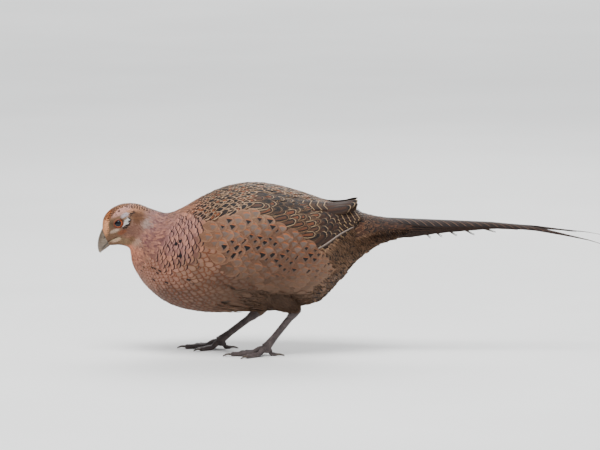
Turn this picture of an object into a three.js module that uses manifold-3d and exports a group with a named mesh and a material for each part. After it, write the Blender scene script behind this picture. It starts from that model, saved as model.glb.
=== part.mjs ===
// A hen common pheasant, life size, walking low with her head down and her long tail level.
// Millimetres. +X points to the head, +Y to the bird's left, +Z up. The origin is on the floor,
// midway between the bill tip and the tail tip.
import * as THREE from "three";
import { mergeVertices } from "three/addons/utils/BufferGeometryUtils.js";
import Module from "manifold-3d";

const wasm = await Module();
wasm.setup();

// Driving dimensions
const LENGTH = 600; // bill tip to tail tip
const GAP = 0.3; // between one node and the next
const TAIL_TIP_X = -LENGTH / 2;

// The body from the bill base to the tail root. Each station is a tilted section: a point on the upper
// outline, a point on the lower outline, half its width, and how far its widest level sits below the middle.
const STATIONS = [
  { top: [294.5, 139.5], bottom: [287.6, 123.4], half: 6.2, low: 0.0 }, // bill base
  { top: [293.2, 154.0], bottom: [282.0, 123.6], half: 9.0, low: 0.0 }, // forehead
  { top: [285.6, 164.2], bottom: [274.6, 123.9], half: 12.0, low: 0.0 }, // eyes
  { top: [272.0, 170.8], bottom: [267.2, 122.2], half: 14.4, low: 0.0 }, // crown
  { top: [255.0, 171.0], bottom: [263.2, 119.0], half: 16.6, low: 0.05 }, // cheek
  { top: [238.0, 165.0], bottom: [262.0, 112.5], half: 20.0, low: 0.1 }, // nape
  { top: [220.5, 160.2], bottom: [260.4, 103.4], half: 26.5, low: 0.1 }, // neck
  { top: [202.6, 166.6], bottom: [254.8, 91.3], half: 36.0, low: 0.08 }, // shoulders
  { top: [179.8, 179.6], bottom: [241.2, 73.5], half: 46.0, low: 0.05 },
  { top: [153.6, 190.8], bottom: [215.6, 55.5], half: 53.5, low: 0.05 },
  { top: [126.2, 195.4], bottom: [177.5, 47.2], half: 57.0, low: 0.05 }, // deepest
  { top: [97.7, 192.8], bottom: [134.2, 47.8], half: 57.0, low: 0.05 },
  { top: [69.2, 185.2], bottom: [87.4, 50.5], half: 53.5, low: 0.03 },
  { top: [44.1, 176.4], bottom: [48.7, 61.5], half: 46.5, low: 0.0 },
  { top: [23.6, 169.0], bottom: [23.6, 86.5], half: 37.5, low: 0.0 }, // rump
  { top: [4.2, 162.4], bottom: [4.2, 108.5], half: 28.0, low: 0.0 },
  { top: [-12.9, 157.6], bottom: [-14.0, 122.5], half: 19.0, low: 0.0 }, // tail root
  { top: [-26.0, 154.6], bottom: [-27.0, 131.0], half: 13.0, low: 0.0 },
];
const HEAD_END = 4.6; // station where the head meets the neck
const NECK_END = 7.2; // station where the neck meets the torso
const TORSO_END = 16.0; // station where the torso meets the tail

// Head
const EYE = new THREE.Vector3(275.5, 8.0, 149.4);
const EYE_RADIUS = 6.2;
const LID = { ring: 5.3, tube: 1.3, out: 4.3, tilt: -0.5, yaw: -0.24 };
// The line of the mouth in side view, from the gape to past the bill tip
const MOUTH = [[272, 134.6], [278.6, 132.3], [284.4, 129.2], [290, 124.9], [294.4, 119.9], [297, 113]];
const MOUTH_DEEP = 1.3; // how far the line of the mouth is sunk in the cheek
const MOUTH_WIDE = 0.7;

// Bill, both halves together: upper outline, lower outline and half width of each tilted section
const BILL = [
  { top: [291.0, 147.5], bottom: [281.0, 129.0], half: 6.0 }, // inside the head
  { top: [295.2, 141.6], bottom: [286.2, 122.7], half: 6.4 },
  { top: [298.0, 135.0], bottom: [289.0, 120.6], half: 5.6 },
  { top: [299.6, 128.4], bottom: [291.8, 118.5], half: 4.6 },
  { top: [299.95, 121.8], bottom: [294.4, 116.7], half: 3.2 },
  { top: [298.6, 114.8], bottom: [296.6, 114.6], half: 1.3 },
];
const NOSTRIL_PLACE = new THREE.Vector3(292.8, 5.1, 133.4);
const NOSTRIL = { tilt: 0.95, length: 3.2, high: 1.6, bulge: 0.9 };

// Legs: hock, foot joint and the directions that the toes point
const LEGS = {
  left: { side: 1, thigh: [96, 30, 70], hock: [73, 28, 53], joint: [106.5, 29, 11], heading: 4 },
  right: { side: -1, thigh: [104, -29, 68], hock: [119, -28, 42], joint: [159.5, -29, 11], heading: 0 },
};
const THIGH_RADIUS = 17.5;
const SHANK = { hock: 5.6, shaft: 3.9, foot: 5.0 };
const TOES = [
  { name: "inner", length: 31, turn: -38, radius: 3.1 },
  { name: "middle", length: 42, turn: 2, radius: 3.3 },
  { name: "outer", length: 33, turn: 40, radius: 3.0 },
  { name: "hind", length: 11, turn: 172, radius: 2.4 },
];
const CLAW_LENGTH = 9;
// Radius of a claw at its root and its point, and the height of the point
const CLAW = { root: 1.35, point: 0.22, tip: 0.45 };
const PAD_RADIUS = 5.4; // of the ball of the foot

// Feathers
const VANE_THICK = 0.7;
const WING_CORE = { front: 8.15, back: 11.3, high: 27, low: 110, thick: 4.2, border: 1.6, under: 1.5 };
// Tiers of wing feathers, the longest first. Angles are those of the lowest and the highest feather,
// at its root and at its tip; tips are the stations that the lowest, middle and highest ones reach.
const WING_TIERS = [
  {
    count: 8, root: 10.75, tips: [14.6, 15.5, 15.0], low: [104, 68], high: [35, 16],
    half: 8.2, lift: [1.5, 3.4], rows: 5,
  },
  {
    count: 7, root: 9.7, tips: [12.5, 12.8, 12.6], low: [99, 86], high: [38, 33],
    half: 8.6, lift: [1.6, 5.2], rows: 4,
  },
  {
    count: 6, root: 8.75, tips: [10.8, 11.1, 10.9], low: [93, 88], high: [42, 38],
    half: 8.6, lift: [1.6, 7.0], rows: 4,
  },
];
const WING_CURVE = 110; // twice the radius that a vane is bent to across its width
const TAIL_PAIRS = [0, 54, 90, 121, 146, 170, 190, 207, 220]; // how far each pair ends short of the longest
// The ridge of the tail in side view, and how high its arch stands, from the root to the tip
const TAIL_LINE = [
  [-10, 153], [-28, 155.2], [-60, 153.8], [-100, 152.2],
  [-150, 150], [-200, 145], [-260, 134], [-310, 121],
];
const TAIL_ARCH = [
  [-10, 17], [-20, 20.5], [-28, 22], [-60, 20.5], [-100, 16.5],
  [-150, 12], [-200, 8.5], [-260, 6.5], [-310, 4.5],
];
const TAIL = {
  rootX: -15, step: 1.0, breadth: 0.85, splay: 5.8, splayFrom: 150, inner: 4, outer: 56, turn: 4.2,
};
const TAIL_COVERTS = [
  { depth: -1.1, endX: -88, inner: 5, outer: 58 },
  { depth: -2.2, endX: -66, inner: 30, outer: 88 },
];

// Geometry helpers

// A closed geometry as a manifold-3d solid, facing out.
function solidOf(geometry) {
  geometry.deleteAttribute("normal");
  geometry.deleteAttribute("uv");
  const merged = mergeVertices(geometry, 1e-3);
  const triangles = [];
  for (let i = 0; i < merged.index.count; i += 3) {
    const [a, b, c] = [0, 1, 2].map((k) => merged.index.getX(i + k));
    if (a !== b && b !== c && a !== c) triangles.push(a, b, c);
  }
  const make = (list) =>
    new wasm.Manifold(
      new wasm.Mesh({
        numProp: 3,
        vertProperties: new Float32Array(merged.attributes.position.array),
        triVerts: new Uint32Array(list),
      }),
    );
  const made = make(triangles);
  return made.volume() < 0 ? make(triangles.reverse()) : made;
}

// The largest closed surface of a solid, as a geometry.
function geometryOf(solid) {
  const bodies = solid.decompose().sort((a, b) => b.volume() - a.volume());
  const mesh = bodies[0].getMesh();
  const places = new Float32Array(mesh.numVert * 3);
  for (let i = 0; i < mesh.numVert; i++)
    places.set(mesh.vertProperties.subarray(i * mesh.numProp, i * mesh.numProp + 3), i * 3);
  const geometry = new THREE.BufferGeometry();
  geometry.setAttribute("position", new THREE.BufferAttribute(places, 3));
  geometry.setIndex(new THREE.BufferAttribute(mesh.triVerts, 1));
  geometry.computeVertexNormals();
  return geometry;
}

const joined = (solids) => solids.reduce((all, one) => all.add(one));

// A smooth line through station values, read by station number.
function lineThrough(points) {
  const curve = new THREE.CatmullRomCurve3(points, false, "catmullrom", 0.5);
  return (station) => curve.getPoint(THREE.MathUtils.clamp(station / (points.length - 1), 0, 1));
}

// The surface lofted through tilted sections. angle is 0 on the upper outline, 90 at the left side
// and 180 on the lower outline; lift is the distance out from the surface.
function loft(sections) {
  const upper = lineThrough(sections.map((s) => new THREE.Vector3(s.top[0], 0, s.top[1])));
  const lower = lineThrough(sections.map((s) => new THREE.Vector3(s.bottom[0], 0, s.bottom[1])));
  const girth = lineThrough(sections.map((s) => new THREE.Vector3(s.half, s.low ?? 0, 0)));
  const skin = (station, angle) => {
    const a = THREE.MathUtils.degToRad(angle);
    const middle = upper(station).add(lower(station)).multiplyScalar(0.5);
    const half = upper(station).sub(middle);
    const { x: width, y: low } = girth(station);
    middle.addScaledVector(half, Math.cos(a) - low * Math.sin(a) ** 2);
    middle.y += width * Math.sin(a);
    return middle;
  };
  const normal = (station, angle) => {
    const along = skin(station + 0.02, angle).sub(skin(station - 0.02, angle));
    const around = skin(station, angle + 0.5).sub(skin(station, angle - 0.5));
    return around.cross(along).normalize();
  };
  const point = (station, angle, lift = 0) =>
    skin(station, angle).addScaledVector(normal(station, angle), lift);
  return { upper, lower, skin, normal, point, last: sections.length - 1 };
}

// A closed geometry from a point function of (along 0..1, around in degrees), which draws in at both ends.
function closedLoft(point, around, along) {
  const geometry = new THREE.SphereGeometry(1, around, along);
  const { position, uv } = geometry.attributes;
  for (let i = 0; i < position.count; i++) {
    const p = point(1 - uv.getY(i), 360 * uv.getX(i));
    position.setXYZ(i, p.x, p.y, p.z);
  }
  return geometry;
}

// A loft's closed geometry, with its two ends rounded over by the given numbers of stations,
// and grown by lift. Its rings lie closest together at the head's end.
function roundedLoft(shape, around, along, startRound, endRound, lift = 0) {
  const share = (d, r) => Math.sqrt(Math.max(0, 1 - (1 - Math.min(1, d / r)) ** 2));
  return closedLoft(
    (t, angle) => {
      const station = shape.last * t ** 1.3;
      const draw = share(station, startRound) * share(shape.last - station, endRound);
      const middle = shape.upper(station).add(shape.lower(station)).multiplyScalar(0.5);
      return middle.lerp(shape.point(station, angle, lift), draw);
    },
    around,
    along,
  );
}

// A thin closed sheet. point(along 0..1, across -1..1, side 1 or -1) gives both faces, split alike.
function sheet(point, rows, columns) {
  const places = [];
  for (const side of [1, -1])
    for (let r = 0; r <= rows; r++)
      for (let c = 0; c <= columns; c++)
        places.push(...point(r / rows, (2 * c) / columns - 1, side).toArray());
  const at = (side, r, c) => side * (rows + 1) * (columns + 1) + r * (columns + 1) + c;
  const faces = [];
  for (let r = 0; r < rows; r++)
    for (let c = 0; c < columns; c++) {
      const [a, b, d, e] = [at(0, r, c), at(0, r, c + 1), at(0, r + 1, c), at(0, r + 1, c + 1)];
      const under = (rows + 1) * (columns + 1);
      faces.push(a, b, d, b, e, d);
      faces.push(a + under, d + under, b + under, b + under, d + under, e + under);
    }
  const wall = (r1, c1, r2, c2) =>
    faces.push(at(0, r1, c1), at(0, r2, c2), at(1, r1, c1), at(0, r2, c2), at(1, r2, c2), at(1, r1, c1));
  for (let r = 0; r < rows; r++) {
    wall(r, 0, r + 1, 0);
    wall(r + 1, columns, r, columns);
  }
  for (let c = 0; c < columns; c++) {
    wall(0, c + 1, 0, c);
    wall(rows, c, rows, c + 1);
  }
  const geometry = new THREE.BufferGeometry();
  geometry.setAttribute("position", new THREE.Float32BufferAttribute(places, 3));
  geometry.setIndex(faces);
  return geometry;
}

// A feather's half width along its length: quick out of the root, fullest past the middle, narrow
// at the tip.
function vaneWidth(s, half, tip) {
  const grown = THREE.MathUtils.smoothstep(s, -0.25, 0.3);
  const closed = Math.sqrt(Math.max(0, 1 - THREE.MathUtils.smoothstep(s, 0.45, 1.02) ** 2));
  return tip + (half - tip) * grown * closed;
}

// A round bar between two points whose radius follows the profile [share of the length, radius].
function bar(from, to, profile, sides = 14) {
  const length = from.distanceTo(to);
  const outline = profile.map(([share, radius]) => new THREE.Vector2(radius, share * length));
  const geometry = new THREE.LatheGeometry(outline, sides);
  const turn = new THREE.Quaternion().setFromUnitVectors(
    new THREE.Vector3(0, 1, 0),
    to.clone().sub(from).normalize(),
  );
  return geometry.applyQuaternion(turn).translate(from.x, from.y, from.z);
}

const ball = (centre, radius, w = 16, h = 10) =>
  new THREE.SphereGeometry(radius, w, h).translate(centre.x, centre.y, centre.z);

const mirrored = (solid) => solid.mirror([0, 1, 0]);

// Everything on the head's side of a station's section plane, moved by shift along the body.
function ahead(shape, station, shift) {
  const size = LENGTH + 100; // larger than the bird
  const top = shape.upper(station);
  const chord = top.clone().sub(shape.lower(station)).normalize();
  const forward = new THREE.Vector3(0, 1, 0).cross(chord).normalize();
  const box = new THREE.BoxGeometry(size, size, size).translate(size / 2 + shift, 0, 0);
  const basis = new THREE.Matrix4().makeBasis(forward, new THREE.Vector3(0, 1, 0), chord);
  return solidOf(box.applyMatrix4(basis.setPosition(top)));
}

// A tapered tube along a curve, round at both ends; radius is a function of the share of its length.
function limb(path, radius, around, along) {
  const forward = path.getTangentAt(0.5).setZ(0).normalize();
  const across = new THREE.Vector3(-forward.y, forward.x, 0);
  const tip = (t) => Math.sqrt(Math.max(0, 1 - (1 - Math.min(1, t / 0.08)) ** 2));
  return closedLoft(
    (t, angle) => {
      const a = THREE.MathUtils.degToRad(angle);
      const up = path.getTangentAt(t).cross(across).normalize();
      const r = radius(t) * tip(t) * tip(1 - t);
      return path
        .getPointAt(t)
        .addScaledVector(across, r * Math.sin(a))
        .addScaledVector(up, r * Math.cos(a));
    },
    around,
    along,
  );
}

// Body
const body = loft(STATIONS);
const BODY_GRID = [24, 46, 0.2, 0.7]; // faces round and along, and the stations that each end rounds over
const whole = solidOf(roundedLoft(body, ...BODY_GRID));
const wholeGrown = solidOf(roundedLoft(body, ...BODY_GRID, GAP));
const wholeShrunk = solidOf(roundedLoft(body, ...BODY_GRID, -MOUTH_DEEP));
const headSide = (shift) => ahead(body, HEAD_END, shift);
const neckSide = (shift) => ahead(body, NECK_END, shift);
const torsoSide = (shift) => ahead(body, TORSO_END, shift);

// Head: lids round each eye, a socket behind them, and the line of the mouth back to the gape
function lidRing() {
  const ring = new THREE.TorusGeometry(LID.ring, LID.tube, 6, 18);
  ring.rotateX(Math.PI / 2).scale(1.12, 1, 0.94).rotateY(LID.tilt).rotateZ(LID.yaw);
  return solidOf(ring.translate(EYE.x, EYE.y + LID.out, EYE.z));
}

// Everything under the line of the mouth, moved down by shift.
function underMouth(shift) {
  const line = new THREE.SplineCurve(MOUTH.map(([x, z]) => new THREE.Vector2(x, z - shift)));
  const lowest = new THREE.Vector2(MOUTH[0][0], MOUTH.at(-1)[1]);
  const outline = new THREE.Shape([...line.getPoints(15), lowest]);
  const depth = 60; // wider than the head
  const block = new THREE.ExtrudeGeometry(outline, { depth, bevelEnabled: false });
  return solidOf(block.rotateX(Math.PI / 2).translate(0, depth / 2, 0));
}

function makeHead() {
  const lids = lidRing();
  const socket = solidOf(ball(EYE, EYE_RADIUS + GAP, 14, 10));
  const mouth = underMouth(-MOUTH_WIDE / 2).subtract(underMouth(MOUTH_WIDE / 2)).subtract(wholeShrunk);
  return whole
    .intersect(headSide(GAP / 2))
    .subtract(mouth)
    .add(lids)
    .add(mirrored(lids))
    .subtract(socket)
    .subtract(mirrored(socket));
}

// Bill: the nostrils open under a small swelling on each side
const bill = solidOf(roundedLoft(loft(BILL), 12, 10, 0.2, 0.7));

function nostrilPart(length, high, wide, shift) {
  const oval = new THREE.SphereGeometry(1, 8, 6).scale(length, wide, high).translate(0, 0, shift);
  return solidOf(oval.rotateY(NOSTRIL.tilt).translate(...NOSTRIL_PLACE.toArray()));
}

function makeUpperBill() {
  const { length, high, bulge } = NOSTRIL;
  const swelling = nostrilPart(length, high, bulge, 0);
  const slit = nostrilPart(length * 0.7, high * 0.35, bulge * 1.6, -high * 0.8);
  return bill
    .subtract(underMouth(-GAP / 2))
    .add(swelling)
    .add(mirrored(swelling))
    .subtract(slit)
    .subtract(mirrored(slit))
    .subtract(wholeGrown);
}

const makeLowerBill = () => bill.intersect(underMouth(GAP / 2)).subtract(wholeGrown);

// Wings
function wingCore() {
  const { front, back, high, low, thick, border, under } = WING_CORE;
  const { lerp } = THREE.MathUtils;
  return solidOf(
    sheet((s, a, side) => {
      const fullness = Math.sqrt(Math.max(0, 4 * s * (1 - s)) * (1 - a * a));
      const lift = side > 0 ? border + (thick - border) * fullness : -under;
      return body.point(lerp(front, back, s), lerp(high, low, (a + 1) / 2), lift);
    }, 6, 6),
  );
}

// One feather of a wing tier. i counts from the lowest; each lies over the one below it.
function wingVane(tier, i) {
  const { lerp, smoothstep } = THREE.MathUtils;
  const share = i / (tier.count - 1);
  const [lowest, central, highest] = tier.tips;
  const tip = share < 0.5 ? lerp(lowest, central, share * 2) : lerp(central, highest, share * 2 - 1);
  const spine = (s, part, lift = 0) => {
    const angle = lerp(lerp(tier.low[0], tier.high[0], part), lerp(tier.low[1], tier.high[1], part), s);
    const station = lerp(tier.root, tip, s);
    return { place: body.point(station, angle, lift), up: body.normal(station, angle) };
  };
  return solidOf(
    sheet((s, a, side) => {
      const lift = lerp(tier.lift[0], tier.lift[1], smoothstep(s, 0, 0.5));
      const { place, up } = spine(s, share, lift);
      const along = spine(s + 0.02, share, lift).place.sub(spine(s - 0.02, share, lift).place).normalize();
      const across = new THREE.Vector3().crossVectors(along, up).normalize();
      const spacing = spine(s, 0).place.distanceTo(spine(s, 1).place) / (tier.count - 1);
      const offset = a * vaneWidth(s, tier.half, 0.5);
      const shingle = (offset * (VANE_THICK + GAP)) / spacing;
      const ridge = side * (VANE_THICK / 2) * (1 - 0.2 * Math.abs(a)) + 0.12 * (1 - Math.abs(a));
      return place
        .addScaledVector(across, offset)
        .addScaledVector(up, shingle - offset ** 2 / WING_CURVE + ridge);
    }, tier.rows, 2),
  );
}

function makeWing() {
  const vanes = WING_TIERS.flatMap((tier) =>
    Array.from({ length: tier.count }, (_, i) => wingVane(tier, i)),
  );
  return joined([wingCore(), ...vanes]).subtract(wholeGrown);
}

// Tail: pairs of feathers under one another along a shared line, arched across like a roof
const tailRidge = new THREE.CatmullRomCurve3(TAIL_LINE.map(([x, z]) => new THREE.Vector3(x, 0, z)));
const tailRise = new THREE.CatmullRomCurve3(TAIL_ARCH.map(([x, rise]) => new THREE.Vector3(x, 0, rise)));

// A curve's height above X = x.
function heightAt(curve, x) {
  let [low, high] = [0, 1];
  for (let k = 0; k < 30; k++) {
    const t = (low + high) / 2;
    if (curve.getPoint(t).x > x) low = t;
    else high = t;
  }
  return curve.getPoint(low).z;
}

// side is 1 on the left; depth counts feathers down from the top one, and is negative for coverts.
function tailVane(side, depth, endX, inner, outer, rows) {
  const { lerp, smoothstep, degToRad } = THREE.MathUtils;
  return solidOf(
    sheet((s, a, face) => {
      const x = lerp(TAIL.rootX, endX, s);
      const narrow = vaneWidth(s, 1, 0.06);
      const middle = (inner + outer) / 2;
      const turn = degToRad(middle + ((a * (outer - inner)) / 2) * narrow);
      const sunk = depth * TAIL.step * (depth < 0 ? smoothstep(s, 0, 0.4) : 1) - (face * VANE_THICK) / 2;
      const rise = heightAt(tailRise, x);
      const droop = side * TAIL.splay * smoothstep(-x, TAIL.splayFrom, -TAIL_TIP_X) ** 1.5;
      return new THREE.Vector3(
        x,
        side * (rise * TAIL.breadth - sunk) * Math.sin(turn),
        heightAt(tailRidge, x) - sunk - (rise - sunk) * (1 - Math.cos(turn)) - droop,
      );
    }, rows, 2),
  );
}

function makeTail() {
  const core = whole.subtract(torsoSide(-GAP / 2));
  const vanes = [1, -1].flatMap((side) => [
    ...TAIL_PAIRS.map((short, i) => {
      const turned = TAIL.turn * i;
      return tailVane(side, i, TAIL_TIP_X + short, TAIL.inner + turned, TAIL.outer + turned, i ? 5 : 12);
    }),
    ...TAIL_COVERTS.map(({ depth, endX, inner, outer }) => tailVane(side, depth, endX, inner, outer, 5)),
  ]);
  return joined([core, ...vanes]).subtract(torsoSide(-GAP / 2));
}

// Legs
const vector = ([x, y, z]) => new THREE.Vector3(x, y, z);
const floor = solidOf(new THREE.BoxGeometry(LENGTH * 1.5, 400, 100).translate(0, 0, -50));

function shankSolid(leg, grow) {
  const { hock, shaft, foot } = SHANK;
  return solidOf(
    bar(vector(leg.hock), vector(leg.joint), [
      [-0.1 - grow / 50, 0],
      [-0.07, hock * 0.75 + grow],
      [0.0, hock + grow],
      [0.08, hock * 0.9 + grow],
      [0.2, shaft + grow],
      [0.75, shaft * 0.94 + grow],
      [0.92, foot * 0.9 + grow],
      [1.0, foot + grow],
      [1.07, foot * 0.7 + grow],
      [1.1 + grow / 50, 0],
    ]),
  );
}

function thighSolid(leg) {
  const [from, to] = [vector(leg.thigh), vector(leg.hock)];
  return solidOf(
    bar(from, to, [
      [-0.45, 0],
      [-0.4, THIGH_RADIUS * 0.55],
      [-0.2, THIGH_RADIUS * 0.9],
      [0.05, THIGH_RADIUS],
      [0.45, THIGH_RADIUS * 0.8],
      [0.8, THIGH_RADIUS * 0.52],
      [1.02, THIGH_RADIUS * 0.38],
      [1.1, THIGH_RADIUS * 0.3],
      [1.12, 0],
    ], 20),
  );
}

// The line of a toe from the foot joint out over the floor, and of its claw.
function toeLines(leg, toe) {
  const turn = THREE.MathUtils.degToRad((toe.turn + leg.heading) * leg.side);
  const out = (distance, height) =>
    new THREE.Vector3(
      leg.joint[0] + Math.cos(turn) * distance,
      leg.joint[1] + Math.sin(turn) * distance,
      height,
    );
  const tread = toe.radius * 0.8;
  const end = toe.length;
  const toeLine = new THREE.CatmullRomCurve3([
    out(0, leg.joint[2] - 2),
    out(end * 0.18, leg.joint[2] * 0.72),
    out(end * 0.42, tread + 0.6),
    out(end * 0.7, tread),
    out(end, tread * 0.8),
  ]);
  const clawLine = new THREE.CatmullRomCurve3([
    out(end - 2.4, tread * 0.9),
    out(end + CLAW_LENGTH * 0.35, tread * 1.05),
    out(end + CLAW_LENGTH * 0.75, tread * 0.62),
    out(end + CLAW_LENGTH, CLAW.tip),
  ]);
  return { toeLine, clawLine };
}

const clawRadius = (grow) => (t) => CLAW.root * (1 - t) ** 0.7 + CLAW.point + grow;

function makeFoot(leg) {
  const [x, y, z] = leg.joint;
  const pad = solidOf(ball(new THREE.Vector3(x, y, z - 3), PAD_RADIUS, 10, 7));
  const toes = TOES.map((toe) => {
    const swell = (t) => toe.radius * (1.15 - 0.35 * t) * (1 + 0.07 * Math.cos(t * 6 * Math.PI));
    return solidOf(limb(toeLines(leg, toe).toeLine, swell, 7, 10));
  });
  const sockets = TOES.map((toe) => solidOf(limb(toeLines(leg, toe).clawLine, clawRadius(GAP), 6, 6)));
  return joined([pad, ...toes]).subtract(floor).subtract(joined(sockets)).subtract(shankSolid(leg, GAP));
}

function makeClaw(leg, toe) {
  return solidOf(limb(toeLines(leg, toe).clawLine, clawRadius(0), 6, 6)).subtract(floor);
}

// Materials
const matte = (color, roughness = 0.8) => new THREE.MeshStandardMaterial({ color, roughness, metalness: 0 });
const plumage = matte(0x8f6d55);
const barred = matte(0x4f3c2f);
const horn = matte(0x8d8172, 0.45);
const scaly = matte(0x6a5f5e, 0.6);
const clawHorn = matte(0x3a322e, 0.4);
const eyeball = matte(0x14151c, 0.05);

// Assembly
const hen = new THREE.Group();
const addNode = (name, solid, material) => {
  const mesh = new THREE.Mesh(geometryOf(solid), material);
  mesh.name = name;
  hen.add(mesh);
};

const legs = Object.entries(LEGS);
const torsoCuts = joined(legs.map(([, leg]) => shankSolid(leg, GAP)));
const torso = whole.subtract(neckSide(-GAP / 2)).intersect(torsoSide(GAP / 2));

addNode("torso", torso.subtract(torsoCuts), plumage);
addNode("neck", whole.intersect(neckSide(GAP / 2)).subtract(headSide(-GAP / 2)), plumage);
addNode("head", makeHead(), plumage);
addNode("bill_upper", makeUpperBill(), horn);
addNode("bill_lower", makeLowerBill(), horn);
addNode("tail", makeTail(), barred);
const eye = solidOf(ball(EYE, EYE_RADIUS, 14, 10));
addNode("eye_left", eye, eyeball);
addNode("eye_right", mirrored(eye), eyeball);
const wing = makeWing();
addNode("wing_left", wing, barred);
addNode("wing_right", mirrored(wing), barred);
for (const [name, leg] of legs) {
  addNode(`thigh_${name}`, thighSolid(leg).subtract(wholeGrown).subtract(shankSolid(leg, GAP)), plumage);
  addNode(`shank_${name}`, shankSolid(leg, 0), scaly);
  addNode(`foot_${name}`, makeFoot(leg), scaly);
  for (const toe of TOES) addNode(`claw_${name}_${toe.name}`, makeClaw(leg, toe), clawHorn);
}

export default hen;
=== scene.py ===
import bpy
import math
import numpy as np
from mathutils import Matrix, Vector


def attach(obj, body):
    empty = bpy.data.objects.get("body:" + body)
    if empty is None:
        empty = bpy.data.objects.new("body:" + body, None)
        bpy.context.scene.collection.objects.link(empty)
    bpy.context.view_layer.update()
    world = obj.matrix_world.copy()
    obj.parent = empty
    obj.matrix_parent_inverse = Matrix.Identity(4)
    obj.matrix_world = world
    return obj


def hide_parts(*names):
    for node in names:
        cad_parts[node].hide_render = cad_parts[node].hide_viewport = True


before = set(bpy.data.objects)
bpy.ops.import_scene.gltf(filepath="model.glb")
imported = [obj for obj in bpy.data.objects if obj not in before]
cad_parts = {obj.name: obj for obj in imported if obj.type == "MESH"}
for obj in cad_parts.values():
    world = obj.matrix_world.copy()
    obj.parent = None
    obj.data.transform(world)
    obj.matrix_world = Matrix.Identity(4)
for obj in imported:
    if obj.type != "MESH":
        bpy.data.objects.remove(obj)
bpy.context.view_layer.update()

MM = 0.001
RNG = np.random.default_rng(11)
SIDES = {"left": 1, "right": -1}

# The body from the bill base to the tail: upper outline x and z, lower outline x and z, half width,
# and how far the widest level sits below the middle.
STATIONS = np.array([
    [294.5, 139.5, 287.6, 123.4, 6.2, 0.0],  # bill base
    [293.2, 154.0, 282.0, 123.6, 9.0, 0.0],  # forehead
    [285.6, 164.2, 274.6, 123.9, 12.0, 0.0],  # eyes
    [272.0, 170.8, 267.2, 122.2, 14.4, 0.0],  # crown
    [255.0, 171.0, 263.2, 119.0, 16.6, 0.05],  # cheek
    [238.0, 165.0, 262.0, 112.5, 20.0, 0.1],  # nape
    [220.5, 160.2, 260.4, 103.4, 26.5, 0.1],  # neck
    [202.6, 166.6, 254.8, 91.3, 36.0, 0.08],  # shoulders
    [179.8, 179.6, 241.2, 73.5, 46.0, 0.05],
    [153.6, 190.8, 215.6, 55.5, 53.5, 0.05],
    [126.2, 195.4, 177.5, 47.2, 57.0, 0.05],  # deepest
    [97.7, 192.8, 134.2, 47.8, 57.0, 0.05],
    [69.2, 185.2, 87.4, 50.5, 53.5, 0.03],
    [44.1, 176.4, 48.7, 61.5, 46.5, 0.0],
    [23.6, 169.0, 23.6, 86.5, 37.5, 0.0],  # rump
    [4.2, 162.4, 4.2, 108.5, 28.0, 0.0],
    [-12.9, 157.6, -14.0, 122.5, 20.0, 0.0],  # tail root
    [-28.0, 155.2, -28.0, 129.0, 18.0, 0.0],
    [-48.0, 154.3, -48.0, 133.0, 16.5, 0.0],
    [-75.0, 153.0, -75.0, 134.0, 14.0, 0.0],
    [-110.0, 151.6, -110.0, 136.0, 11.0, 0.0],
])
SKIN_END = 17.6  # station where the skin closes, inside the tail feathers

# Head
EYE = np.array([275.5, 8.0, 149.4])
EYE_RADIUS = 6.2
MOUTH = np.array([[272, 134.6], [278.6, 132.3], [284.4, 129.2], [290, 124.9], [294.4, 119.9], [297, 113]])
BILL = np.array([
    [291.0, 147.5, 281.0, 129.0, 6.0, 0],
    [295.2, 141.6, 286.2, 122.7, 6.4, 0],
    [298.0, 135.0, 289.0, 120.6, 5.6, 0],
    [299.6, 128.4, 291.8, 118.5, 4.6, 0],
    [299.95, 121.8, 294.4, 116.7, 3.2, 0],
    [298.6, 114.8, 296.6, 114.6, 1.3, 0],
])
NOSTRIL = np.array([292.8, 133.4])
LID_OPENING = (5.1, 4.15)  # half its length and height
LID_BORDER = (8.4, 6.9)
LID_TURN = -0.6  # radians that the opening is turned, its front end down

# Legs: map is where the thigh begins across the OFBake map
LEGS = {
    "left": dict(side=1, thigh=(96, 30, 70), hock=(73, 28, 53), joint=(106.5, 29, 11), heading=4, map=0.82),
    "right": dict(side=-1, thigh=(104, -29, 68), hock=(119, -28, 42), joint=(159.5, -29, 11), heading=0,
                  map=0.91),
}
# Name, length, turn out in degrees and radius
TOES = [("inner", 31, -38, 3.1), ("middle", 42, 2, 3.3), ("outer", 33, 40, 3.0), ("hind", 11, 172, 2.4)]
CLAW_LENGTH = 9
# How far down from hock to joint, and the radius there
SHANK_RADII = np.array([[0, 5.4], [0.12, 5.2], [0.24, 3.95], [0.75, 3.8], [0.92, 4.5], [1.0, 5.0], [1.08, 3.8]])

# Tail: how far each pair ends short of the longest, the line along its top, and its arch
TAIL_ROOT_X = -15
TAIL_TIP_X = -300
TAIL_PAIRS = [0, 54, 90, 121, 146, 170, 190, 207, 220]
TAIL_LINE = np.array([[-10, 153], [-28, 155.2], [-60, 153.8], [-100, 152.2], [-150, 150], [-200, 145],
                      [-260, 134], [-310, 121]])
TAIL_ARCH = np.array([[-10, 17], [-20, 20.5], [-28, 22], [-60, 20.5], [-100, 16.5], [-150, 12],
                      [-200, 8.5], [-260, 6.5], [-310, 4.5]])


def smooth(x, low, high):
    t = np.clip((x - low) / (high - low), 0, 1)
    return t * t * (3 - 2 * t)


def fade(x, low, high):
    """1 below low, 0 above high, and smooth between."""
    return 1 - smooth(x, low, high)


def mix(a, b, t):
    return a + (b - a) * t


def lattice(rows, columns, low, high):
    """Two grids of numbers: 0 to 1 down the rows, and low to high across the columns."""
    return np.meshgrid(np.linspace(0, 1, rows + 1), np.linspace(low, high, columns + 1), indexing="ij")


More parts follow.
